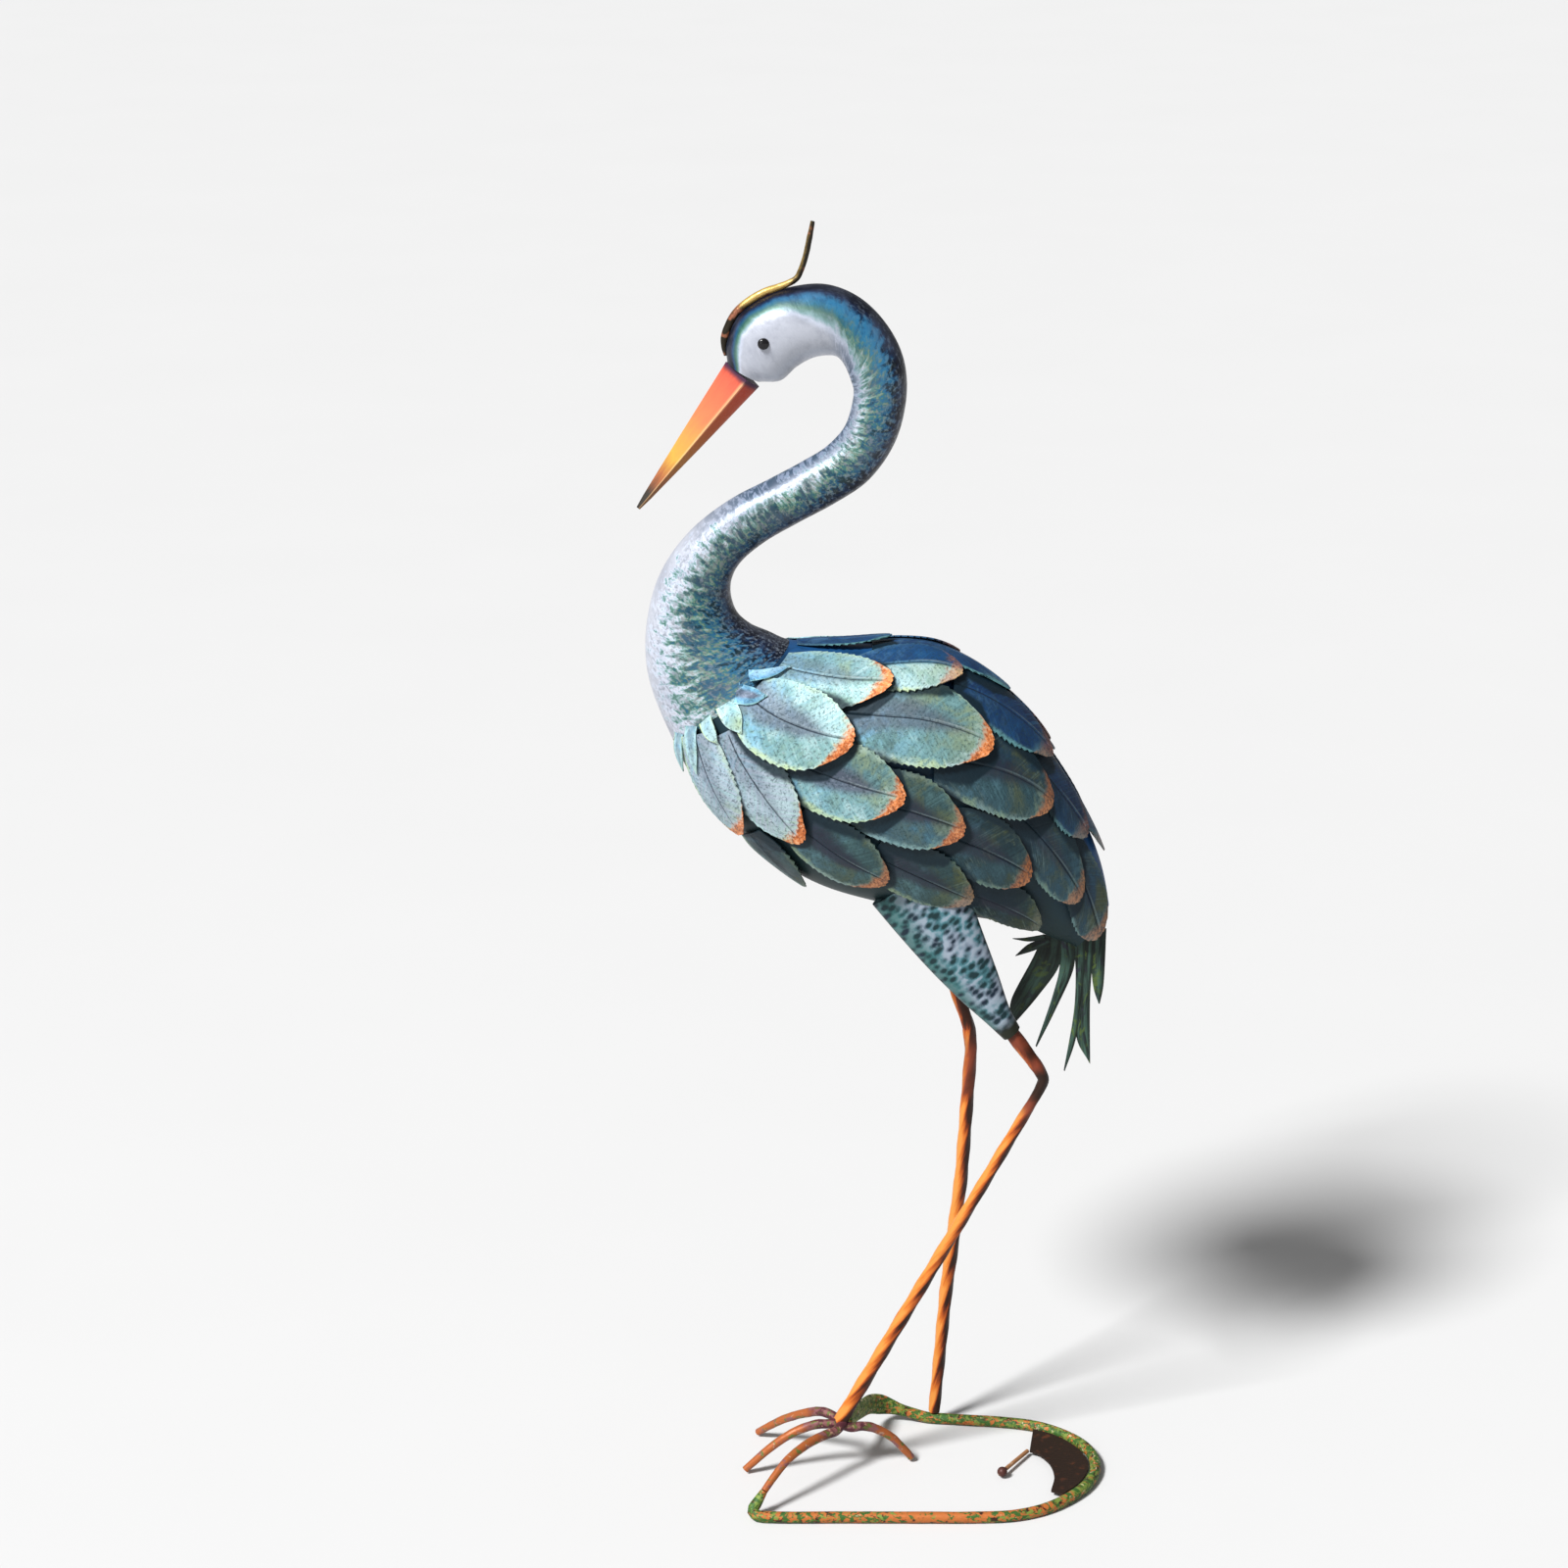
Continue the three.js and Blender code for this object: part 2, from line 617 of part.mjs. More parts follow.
// Thigh cut to fit under the shell and the feathers that hang over it
function thigh(rows, leanDegrees, hand) {
  const lean = THREE.MathUtils.degToRad(leanDegrees);
  const rings = rows.map(({ centre, half, wide }) => {
    const ring = [];
    for (let j = 0; j < THIGH_SIDES; j++) {
      const turn = (Math.PI * 2 * j) / THIGH_SIDES;
      const reach = half * Math.cos(turn);
      const x = centre[0] + Math.cos(lean) * reach;
      const y = centre[1] + wide * Math.sin(turn);
      const z = centre[2] + Math.sin(lean) * reach;
      ring.push(new THREE.Vector3(x, y, z));
    }
    return ring;
  });
  const shell = shellPiece(HEM_SECTION + 0.5, RUMP_SECTION, BODY_STEPS, BODY_SIDES * 2, THIGH_CLEAR);
  let solid = toSolid(skin(rings)).subtract(toSolid(shell));
  const under = -4; // the cut reaches from this far under a feather to just over it
  for (const feather of SIDE_FEATHERS.filter((f) => f.name.startsWith("belly"))) {
    const wider = { ...feather, width: feather.width + 4 * GAP };
    solid = solid.subtract(toSolid(featherSheet(wider, hand, under, FEATHER_SHEET + GAP)));
  }
  const pieces = solid.decompose().sort((a, b) => b.volume() - a.volume());
  return toGeometry(pieces[0]);
}

// Value at a place along rows of [place, value], straight from row to row
function rowAt(rows, place) {
  const found = rows.findIndex(([at]) => at > place);
  const next = found > 0 ? found : rows.length - 1;
  const [[from, first], [to, last]] = [rows[next - 1], rows[next]];
  return THREE.MathUtils.lerp(first, last, Math.min((place - from) / (to - from), 1));
}

function buildLegs() {
  add("thigh_near", thigh(THIGH, THIGH_LEAN, 1), "thigh");
  add("thigh_far", thigh(FAR_THIGH, FAR_THIGH_LEAN, -1), "thigh");
  const square = [45, 135, 225, 315].map((degrees) => [LEG_BAR / Math.SQRT2, degrees]);
  const twist = (travelled) => (360 * travelled) / LEG_TURN;
  const bar = (path, sizes) => {
    const size = (travelled) => Array(2).fill(rowAt(sizes, travelled));
    return skin(barRings(stretched(path, LEG_STEP), square, twist, size));
  };
  add("leg_near", bar(NEAR_LEG, NEAR_LEG_SIZES), "leg");
  add("leg_far", bar(FAR_LEG, FAR_LEG_SIZES), "leg");
}

function buildToes() {
  for (const { name, path } of TOES) {
    const points = finer(path, TOE_STEP);
    const length = TOE_STEP * points.length;
    const size = (travelled) => {
      const share = 1 - (1 - TOE_TIP / TOE_ROOT) * Math.min(travelled / length, 1) ** 1.5;
      return [share, share];
    };
    add(name, skin(barRings(points, roundCorners(TOE_ROOT, ROD_SIDES), undefined, size)), "toe");
  }
}

function buildBase() {
  const across = BASE_ROD / Math.cos(Math.PI / ROD_SIDES);
  const path = finer(BASE_PATH, BASE_STEP).map(([x, y, z]) => [x, y, Math.max(z, ROD_HEIGHT)]);
  const length = BASE_STEP * (path.length - 1);
  const flattened = (travelled) => {
    const share = THREE.MathUtils.smoothstep(travelled, length - FLAT_START, length - FLAT_END);
    return [1 - (1 - FLAT_THICKNESS / BASE_ROD) * share, 1 + (FLAT_WIDTH / BASE_ROD - 1) * share];
  };
  add("base_loop", skin(barRings(path, roundCorners(across, ROD_SIDES), undefined, flattened)), "rail");
  const outline = new THREE.Shape();
  outline.moveTo(...PLATE_OUTER[0]);
  outline.splineThru(PLATE_OUTER.slice(1).map((p) => new THREE.Vector2(...p)));
  outline.lineTo(...PLATE_INNER[0]);
  outline.splineThru(PLATE_INNER.slice(1).map((p) => new THREE.Vector2(...p)));
  const options = { depth: PLATE_SHEET, bevelEnabled: false, curveSegments: 3 };
  const plate = new THREE.ExtrudeGeometry(outline, options);
  add("crescent_plate", plate, "plate").position.z = ROD_HEIGHT - PLATE_SHEET / 2;
  const pin = skin(barRings(PIN_PATH, roundCorners(PIN_ROD, ROD_SIDES)));
  const ball = new THREE.SphereGeometry(PIN_BALL / 2, 10, 8).translate(...PIN_PATH[0]);
  add("ball_pin", toGeometry(toSolid(pin).add(toSolid(ball))), "toe");
}

// The tail fan is cut from one sheet and bent a little to either side
function buildTail() {
  const outline = new THREE.Shape(TAIL_OUTLINE.map((p) => new THREE.Vector2(...p)));
  const geometry = new THREE.ExtrudeGeometry(outline, { depth: TAIL_SHEET, bevelEnabled: false });
  geometry.rotateX(Math.PI / 2);
  const place = geometry.attributes.position;
  for (let i = 0; i < place.count; i++) {
    const drop = Math.max(TAIL_BEND.top - place.getZ(i), 0);
    const aside = TAIL_BEND.middle - place.getX(i);
    place.setY(i, place.getY(i) + aside * drop * TAIL_BEND.rate);
  }
  geometry.computeVertexNormals();
  add("tail_fan", geometry, "tail");
}

buildShell();
buildBeak();
buildCrest();
buildEye("eye_near", -1);
buildEye("eye_far", 1);
buildFeathers();
buildLegs();
buildToes();
buildBase();
buildTail();

export default statue;
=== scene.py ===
"""Painted metal garden crane: its finished pieces, built round the packed frame."""

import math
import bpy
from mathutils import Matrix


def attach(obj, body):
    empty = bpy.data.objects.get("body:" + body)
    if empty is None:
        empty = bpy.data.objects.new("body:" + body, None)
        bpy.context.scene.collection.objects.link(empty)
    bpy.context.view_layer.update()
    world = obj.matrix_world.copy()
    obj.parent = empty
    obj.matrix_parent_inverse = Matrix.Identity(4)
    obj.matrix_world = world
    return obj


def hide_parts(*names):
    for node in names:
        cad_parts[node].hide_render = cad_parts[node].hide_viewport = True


bl_info = {
    "name": "Metal garden crane",
    "version": (1, 0, 0),
    "blender": (4, 5, 0),
    "location": "View3D > Sidebar > Crane",
    "description": "Builds the painted sheet-metal crane and its stage round the packed frame",
    "category": "Object",
}

import bpy
import numpy as np
from bpy.props import FloatProperty, FloatVectorProperty, PointerProperty
from mathutils import Vector

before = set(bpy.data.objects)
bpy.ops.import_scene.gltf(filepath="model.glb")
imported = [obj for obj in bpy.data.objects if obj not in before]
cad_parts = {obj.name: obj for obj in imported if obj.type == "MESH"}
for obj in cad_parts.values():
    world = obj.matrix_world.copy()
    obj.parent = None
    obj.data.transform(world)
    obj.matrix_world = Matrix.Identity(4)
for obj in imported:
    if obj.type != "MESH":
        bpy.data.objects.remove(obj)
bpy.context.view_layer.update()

MM = 0.001
GAP = 0.4  # air kept between pieces that touch, mm
MIDDLE_Y = 24.8  # the bird's middle plane in the frame, mm

# All tables are in mm, in the bird's own frame: it looks along -X and its middle plane is Y = 0.

# Oval sections of the shell from the face to the rump: centre x and z, lean in degrees,
# half height, half width
SECTIONS = np.array(
    [
        (-101.5, 888, 150, 14, 12),
        (-94.2, 896, 145, 24.3, 18.5),
        (-84, 911.2, 139, 28.6, 23.5),
        (-69, 921.6, 129, 29, 25),
        (-51.7, 926.3, 115, 28, 24),
        (-36, 926, 98, 27, 22),
        (-21.3, 917, 79, 26.5, 20.5),
        (-9.2, 902, 55, 24, 19.5),
        (-2, 884.5, 28, 21.3, 19),
        (-2.2, 863.5, 5, 20.2, 18.5),
        (-9.2, 839.7, -18, 19.6, 18),
        (-25, 819, -39, 20, 18),
        (-46.5, 804.5, -51, 19.8, 18),
        (-72, 790.5, -56, 19.6, 18),
        (-98, 776, -54, 20.4, 18.5),
        (-119, 759.5, -44, 21.5, 19.5),
        (-132, 742.5, -29, 24, 21.5),
        (-139.4, 723, -12, 28.4, 24.5),
        (-140.5, 702, 2, 34, 28.5),
        (-136, 684, 13, 41.5, 33.5),
        (-128, 668, 24, 49, 39),
        (-112.5, 644, 40, 58, 46),
        (-91, 621, 54, 72.5, 55),
        (-57, 600, 64, 86.6, 61),
        (-17.6, 584.8, 71, 98.4, 64),
        (22, 573, 76, 100.2, 62.5),
        (62.3, 557, 78, 92.5, 56),
        (99, 536.5, 78, 77.5, 46.5),
        (127, 512.5, 76, 60, 35),
        (150, 483, 69, 42, 23.5),
        (165.5, 453.5, 54, 21.5, 12),
        (176, 426, 50, 11, 8),
    ]
)
HEM_SECTION = 21
RUMP_SECTION = 30
EYE_SECTION = 2

# Feathers of one side: name, root and tip as (mm behind the hem, degrees from the ridge), width
# and extra lift. Then their paint from 0 to 1: how dark above and below the vein, which holds both
# their own tone and painted shade, how blue above and below it, how much grey bloom, and how much
# orange at the tip. Less than 0 is as much orange on the upper corner, on pearly paint.
SIDE_FEATHERS = [
    ("back_1", (4, 40), (113, 39), 48.5, 0, (0.16, 0.12, 0.1, 0.0, 0.5, 1.0)),
    ("back_2", (77, 30), (174, 20), 44, 1.6, (0.7, 0.02, 1.0, 0.0, 0.1, 0.6)),
    ("back_3", (168, 28), (261, 18), 43, 3.3, (0.85, 0.8, 1.0, 0.9, 0.1, 0.7)),
    ("back_4", (241, 38), (306, 32), 40, 2, (0.85, 0.8, 0.8, 0.6, 0.2, 0.5)),
    ("wing_1", (2, 74), (97, 69), 62, 1.8, (0.1, 0.16, 0.1, 0.0, 0.9, 1.0)),
    ("wing_2", (80, 57), (209, 50), 64, 0, (0.3, 0.26, 0.0, 0.0, 0.8, 1.0)),
    ("wing_3", (164, 68), (268, 50), 60, 1.5, (0.86, 0.7, 0.3, 0.1, 0.8, 0.9)),
    ("wing_4", (232, 72), (319, 80), 55, 0, (0.85, 0.76, 0.2, 0.2, 0.6, 0.7)),
    ("wing_5", (280, 62), (355, 80), 46, 0.4, (0.8, 0.8, 0.35, 0.25, 0.4, 0.6)),
    ("side_1", (54, 88), (150, 87), 60, 0, (0.38, 0.22, 0.0, 0.1, 1.0, 1.0)),
    ("side_2", (107, 92), (201, 92), 58, 0, (0.66, 0.54, 0.0, 0.25, 1.0, 1.0)),
    ("side_3", (178, 98), (265, 99), 56, 0, (0.95, 0.78, 0.1, 0.1, 0.8, 1.0)),
    ("breast_1", (1, 125), (59, 146), 46, 1.3, (0.16, 0.2, 0.1, 0.2, 0.5, -0.9)),
    ("breast_2", (11, 101), (93, 122), 52, 0, (0.12, 0.16, 0.0, 0.1, 0.5, -1.0)),
    ("belly_1", (63, 145), (109, 163), 40, 0.9, (0.85, 0.6, 0.0, 0.0, 0.6, 0.0)),
    ("belly_2", (82, 117), (156, 128), 54, 0, (0.68, 0.6, 0.0, 0.0, 1.0, 0.9)),
    ("belly_3", (140, 118), (222, 128), 54, 0, (0.8, 0.6, 0.0, 0.0, 0.9, 0.5)),
    ("belly_4", (211, 127), (291, 133), 44, 0, (0.95, 0.9, 0.0, 0.0, 0.9, 0.1)),
]
RIDGE_FEATHERS = [
    ("ridge_1", (8, 0), (104, 0), 22, 0, (0.72, 0.72, 1.0, 1.0, 0.0, 0.0)),
    ("ridge_2", (88, 0), (218, 0), 36, 0, (0.7, 0.7, 1.0, 1.0, 0.2, 0.0)),
    ("ridge_3", (170, 0), (264, 0), 38, 0, (0.9, 0.9, 1.0, 1.0, 0.1, 0.2)),
    ("ridge_4", (240, 0), (325, 0), 34, 0, (0.8, 0.8, 0.8, 0.8, 0.2, 0.5)),
]
# Small tongues cut in the neck's hem, which lie over the first feathers
HEM_TONGUES = [
    ("hem_1", (-11, 63), (12, 39), 8, 0, (0.02, 0.3, 1.0, 1.0, 0.0, 0.0)),
    ("hem_2", (-6, 79), (13, 66), 14, 0, (0.3, 0.3, 0.7, 0.7, 1.0, 0.0)),
    ("hem_3", (-4, 91), (18, 93), 16, 0, (0.02, 0.0, 0.0, 0.0, 0.1, 0.0)),
    ("hem_4", (-3, 112), (12, 110), 11, 0, (0.06, 0.1, 0.0, 0.0, 0.2, 0.0)),
    ("hem_5", (-4, 127), (18, 140), 12, 0, (0.0, 0.0, 0.3, 0.3, 0.5, 0.0)),
    ("hem_6", (-3, 146), (14, 156), 12, 0, (0.1, 0.1, 0.3, 0.3, 0.5, 0.0)),
]
# Half width of a feather and of a hem tongue as a share of its greatest, from root to tip
LEAF_AT = np.array([0, 0.24, 0.48, 0.7, 0.88, 1])
LEAF_HALF = np.array([0.6, 0.88, 1, 0.97, 0.79, 0.56])
TONGUE_HALF = np.array([1.1, 1, 0.95, 0.8, 0.55, 0.25])
TIP_ROUNDING = 0.15  # how far the corners stay behind the tip, as a share of the length
FEATHER_LIFT = 1.5  # height of a feather's root above the shell
FEATHER_RISE = 0.075  # how fast it lifts off the shell, mm per mm along it
TONGUE_LIFT = -1  # a tongue starts inside the hem,
TONGUE_CLIMB = (6.8, 4)  # and climbs by this much, within a few times this length
BRANCH_STEP = 7.5  # from one branch of the vein to the next
COPY_APART = 210  # from one feather to the next in the paint's noise
HAND_APART = 50  # from the near feathers to the far ones there
SHADE_AHEAD = 4.5  # a feather's shade reaches this far behind its edge
SHADE_BELOW = 5.5  # and this far down the side from it

# Where the white of cheek and throat begins, as sections and shares of the half turn from the
# ridge, and how fast the paint darkens from there
WHITE_EDGE = [
    (0, 0.42, 5.0),
    (0.8, 0.34, 5.0),
    (1.7, 0.26, 4.8),
    (2.4, 0.26, 4.2),
    (3.3, 0.31, 3.2),
    (4.3, 0.45, 2.0),
    (5.5, 0.6, 1.5),
    (6.9, 0.72, 1.25),
    (9, 0.8, 1.1),
    (12, 0.75, 1.25),
    (14, 0.66, 1.35),
    (16, 0.64, 1.3),
    (18, 0.68, 1.2),
    (21, 0.74, 1.1),
]
# Sections and the share there of azure, of brushed mottling, and of the lilac inside the bow
AZURE = [(2.2, 0.1), (4.2, 0.75), (7, 0.8), (9.5, 0.3), (13, 0.1), (17, 0.2), (21, 0.6)]
MOTTLING = [(4.5, 0), (9.5, 1)]
INNER_BOW = [(4.5, 0), (6.5, 1), (13.5, 1), (15.5, 0)]

BEAK_ROOT = (-102.4, 886.4)
BEAK_END = (-180.5, 784.8)
BEAK_HALF_DEPTH = 15.6
BEAK_HALF_WIDTH = 11.5
BEAK_CREASE = -0.24  # height of the side edges, as a share of the half depth
BEAK_SIZES = [(0, 1), (0.5, 0.58), (0.92, 0.2), (1, 0.1)]
EYE_PLACE = (-87, 914)
# An eye bead as shares of its radius and heights
EYE_PROFILE = [
    (1, 0),
    (0.99, 0.6),
    (0.93, 1.2),
    (0.8, 1.75),
    (0.6, 2.15),
    (0.38, 2.38),
    (0.16, 2.48),
    (0.02, 2.5),
]
CREST_OVER_HEAD = (0.35, 3.6)  # sections that the crest's rod lies over
CREST_STALK = [(-63, 0, 957.5), (-60, 0, 963), (-56.5, 0, 973), (-53.5, 0, 987), (-51.2, 0, 999)]
CREST_END = 999.4  # height that the stalk's last point is drawn up to
CREST_SIZES = [(0, 0.5), (14, 1.15), (60, 1.1), (84, 0.82), (118, 0.78), (130, 0.6)]
CREST_SHADE = [(0, 1.6), (26, 1.3), (46, 0.45), (62, 0.1), (74, 0.3), (84, 0.85), (130, 0.9)]

# Rings of the thighs: centre, half depth in the bird's plane, half width. Then their lean.
THIGHS = {
    "thigh_near": (
        [
            (25, -26, 504, 38, 12),
            (40, -28, 478, 33, 13),
            (59.5, -32, 445, 25.5, 12.5),
            (77.5, -35, 416.5, 18, 10.5),
            (92, -37, 394, 11, 8.6),
            (102.9, -38, 379.3, 7.8, 7.6),
        ],
        39,
    ),
    "thigh_far": (
        [
            (30, 24, 512, 24, 12),
            (38, 28, 480, 20, 13),
            (47, 33, 447, 14.5, 11.5),
            (55.5, 36, 414, 9.5, 8.5),
            (60.7, 38, 392.6, 7.4, 7.4),
        ],
        17,
    ),
}
# Middle lines of the legs, their thickness as a share of the bar after so many mm, and their paint:
# how far along the knee is, how long the burnt paint before it is and how dark, how dark the root
# is, and how far down the body shades the leg
LEGS = {
    "leg_near": {
        "path": [
            (101.6, -38, 381.2),
            (124.4, -38, 349.4),
            (128.8, -38, 340.4),
            (124.4, -38, 330),
            (-28.1, -32.8, 41.8),
        ],
        "sizes": [(0, 0.9), (33, 0.86), (46, 0.68), (60, 0.62), (110, 0.72), (360, 0.88)],
        "paint": (51, 18, 1.05, 0.7, 50),
    },
    "leg_far": {
        "path": [
            (60.2, 37.9, 394.5),
            (74, 39.5, 353),
            (76, 40, 334),
            (70, 42, 223),
            (59, 44.5, 118),
            (51, 47, 10.6),
        ],
        "sizes": [(0, 0.82), (60, 0.8), (230, 0.87), (395, 0.74)],
        "paint": (68, 26, 0.4, 0.2, 125),
    },
}
LEG_TURN = 130  # bar length over which a leg twists once round
# One worn corner of the twisted bar, as shares of its half side and degrees from the corner
BAR_CORNER = [(1.08, -40), (1.14, -20), (1.2, 0), (1.14, 20)]
TOES = {
    "toe_outer": [
        (-27.5, -30.5, 43),
        (-35, -23.5, 44.5),
        (-41, -19, 44.5),
        (-53, -9.5, 38.5),
        (-70, 4, 26.5),
        (-83, 15, 14),
        (-93, 23.5, 3.6),
    ],
    "toe_middle": [
        (-26.5, -34, 42.5),
        (-37.5, -35, 42),
        (-44, -35, 42),
        (-54, -35.5, 39.5),
        (-68, -36.5, 33),
        (-83, -37.7, 22),
        (-103, -39.2, 3.6),
    ],
    "toe_inner": [
        (-25, -35, 42.5),
        (-31.5, -45, 40.5),
        (-40, -52, 41),
        (-56, -69, 40.5),
        (-70, -84, 35.5),
        (-80, -94.5, 27),
        (-87.4, -102.4, 19.4),
    ],
    "toe_back": [
        (-26, -33.5, 41),
        (-18.5, -34, 38.5),
        (-8, -30, 37.5),
        (3, -26.5, 32.5),
        (15, -23.5, 23.5),
        (23, -21.5, 14),
        (30.5, -19.5, 3.8),
    ],
}
TOE_STEP = 2.0  # from ring to ring along a toe
TOE_SHADE = [(0, 1.0), (14, 0.95), (34, 0.3), (90, 0.05)]

ROD_HEIGHT = 4.5  # middle of the base's rod above the floor
BASE_PATH = [
    (-87.8, -102.8, 19),
    (-93, -107.5, 12),
    (-96.5, -110.5, 6.5),
    (-92, -115.5, ROD_HEIGHT),
    (-80, -117.2, ROD_HEIGHT),
    (-30, -117.2, ROD_HEIGHT),
    (30, -117.4, ROD_HEIGHT),
    (75, -117.4, ROD_HEIGHT),
    (106, -115, ROD_HEIGHT),
    (130, -105.5, ROD_HEIGHT),
    (152.5, -87, ROD_HEIGHT),
    (169, -64, ROD_HEIGHT),
    (177, -38, ROD_HEIGHT),
    (175, -14, ROD_HEIGHT),
    (165, 6, ROD_HEIGHT),
    (149, 22, ROD_HEIGHT),
    (132, 32, ROD_HEIGHT),
    (110, 38, ROD_HEIGHT),
    (80, 42, ROD_HEIGHT),
    (48, 46, ROD_HEIGHT),
    (28, 49, 9),
    (12, 47, 15),
    (0, 35, 23),
    (-9, 12, 31),
    (-17, -10, 36.5),
    (-20.5, -22, 38),
]
BASE_STEP = 3.0  # from ring to ring along the rod
BASE_THINNER = 0.08  # thinner than the solid, so that the uneven skin stays inside the solid's box
FLAT_START = 100  # the rod is hammered flat over its last stretch up to the ankle,
FLAT_END = 72  # from this far before its end
FLAT_THICKNESS = 6
FLAT_WIDTH = 17
# How mossy the rod is after so many mm: bare along the middle of the front, green behind
MOSSY = [
    (0, 0.03),
    (30, 0.02),
    (60, -0.02),
    (118, 0.0),
    (150, -0.1),
    (190, -0.05),
    (300, 0.06),
    (520, 0.02),
    (600, 0.09),
    (740, 0.07),
]
PLATE_OUTER = [(131, 25), (147, 16), (160, 1), (169, -17), (171, -39), (163, -62), (148, -82)]
PLATE_INNER = [(139, -76), (143, -54), (141, -33), (133, -16), (126, -11)]
PLATE_HEIGHTS = (3.55, 5.35)
PLATE_DISH = 0.35
PIN_PATH = [(102, -46.5, 5.5), (124.2, -10.5, 4.5)]
PIN_BALL = 4.1  # radius of the ball
PIN_ROD = 1.7  # radius of the rod
# Blades of the tail fan: the x and z of their left and right edges from root to tip
TAIL_BLADES = [
    (
        [(128, 446), (114, 443.5), (104.5, 443)],
        [(130, 442), (117, 440.5), (104.8, 442.6)],
    ),
    (
        [(130, 443), (117, 438), (107, 428)],
        [(134, 440), (122, 433), (107.4, 427.8)],
    ),
    (
        [(128, 446), (121, 427), (106, 393), (103.5, 376)],
        [(142, 442), (141, 420), (126, 395), (109, 370.5)],
    ),
    (
        [(139, 443), (141.5, 420), (137, 396), (124.5, 351)],
        [(152.5, 437), (152, 417), (139, 383), (125.3, 350)],
    ),
    (
        [(152, 437), (154, 412), (153, 380), (146.5, 333)],
        [(161, 446), (160, 410), (155.8, 364), (147.3, 332.4)],
    ),
    (
        [(159, 444), (158, 408), (155.2, 364), (165.8, 341.6)],
        [(169, 453), (166, 410), (165.5, 383), (166.5, 341)],
    ),
    (
        [(166, 451), (166, 420), (168, 402), (172, 390)],
        [(177, 450), (176.5, 425), (175.5, 404), (173, 389.8)],
    ),
]
DARK_BLADES = 3  # the first blades lie in the shade of the thigh
BLADE_HALF_SHEET = 0.45
BLADE_APART = 0.5  # from one blade's middle to the next, across the fan
FIRST_BLADE = -1.4
TAIL_BEND = {"top": 440, "middle": 140, "reach": 300}  # the fan bends sideways below its top

FEATHER_FINISH = "feather painted sheet"
CAMERA_PLACE = (-0.072, -2.7502, 1.5)
CAMERA_TILT = 71.44
CAMERA_LENS = 88.188
CAMERA_SENSOR = 36
LIGHTS_AIM = Vector((0, 0, 0.55))
FLOOR_HALF = 16.0


def smooth(rows, t):
    """Catmull-Rom curve through rows of numbers, at row numbers t."""
    rows = np.asarray(rows, float)
    t = np.asarray(t, float)
    i = np.clip(np.floor(t).astype(int), 0, len(rows) - 2)
    w = (t - i)[..., None]
    ends = np.vstack([2 * rows[0] - rows[1], rows, 2 * rows[-1] - rows[-2]])
    a, b, c, d = (ends[i + k] for k in range(4))
    leave, arrive = (c - a) / 2, (d - b) / 2
    cubic = 2 * (b - c) + leave + arrive
    square = 3 * (c - b) - 2 * leave - arrive
    return cubic * w**3 + square * w**2 + leave * w + b


def read(table, at):
    """Values of a table of (place, value) rows at these places."""
    places, values = zip(*table)
    return np.interp(at, places, values)


def held(value):
    """Held between 0 and 1."""
    return np.clip(value, 0, 1)


def travelled(points):
    """Length gone along a line at each of its points."""
    return np.concatenate([[0], np.cumsum(np.linalg.norm(np.diff(points, axis=0), axis=1))])


SPINE_SECTION = np.linspace(0, len(SECTIONS) - 1, 1201)
SPINE_LENGTH = travelled(smooth(SECTIONS[:, :2], SPINE_SECTION))
HEM_LENGTH = float(np.interp(HEM_SECTION, SPINE_SECTION, SPINE_LENGTH))


def section_at(along):
    return np.interp(np.asarray(along, float) + HEM_LENGTH, SPINE_LENGTH, SPINE_SECTION)


def length_at(section):
    return np.interp(section, SPINE_SECTION, SPINE_LENGTH) - HEM_LENGTH


def section_point(section, turn, lift=0.0, hand=1):
    """Points of the shell: turn in degrees from the ridge over the side, lift in mm off it."""
    section, turn, lift = np.broadcast_arrays(section, turn, lift)
    rows = smooth(SECTIONS, section)
    lean, turn = np.radians(rows[..., 2]), np.radians(turn)
    up = (rows[..., 3] + lift) * np.cos(turn)
    out = (rows[..., 4] + lift) * np.sin(turn)
    x = rows[..., 0] + np.cos(lean) * up
    z = rows[..., 1] + np.sin(lean) * up
    return np.stack([x, MIDDLE_Y - hand * out, z], -1)


def shell_point(along, turn, lift=0.0, hand=1):
    return section_point(section_at(along), turn, lift, hand)


def finer(path, step):
    """Points about step mm apart on a centripetal curve through a path."""
    p = np.asarray(path, float)
    p = np.vstack([2 * p[0] - p[1], p, 2 * p[-1] - p[-2]])
    dense = []
    for i in range(len(p) - 3):
        near = p[i : i + 4]
        knots = np.cumsum([0, *np.sqrt(np.linalg.norm(np.diff(near, axis=0), axis=1))])
        t = np.linspace(knots[1], knots[2], 24, endpoint=False)[:, None]
        for spans in (((0, 1), (1, 2), (2, 3)), ((0, 2), (1, 3)), ((1, 2),)):
            near = [
                ((knots[b] - t) * near[k] + (t - knots[a]) * near[k + 1]) / (knots[b] - knots[a])
                for k, (a, b) in enumerate(spans)
            ]
        dense.append(near[0])
    return spaced(np.vstack([*dense, p[-2:-1]]), step)


def spaced(points, step):
    """The same line with its points about step mm apart."""
    gone = travelled(points)
    count = max(int(round(gone[-1] / step)), 2)
    here = np.linspace(0, gone[-1], count + 1)
    return np.stack([np.interp(here, gone, points[:, k]) for k in range(3)], -1)


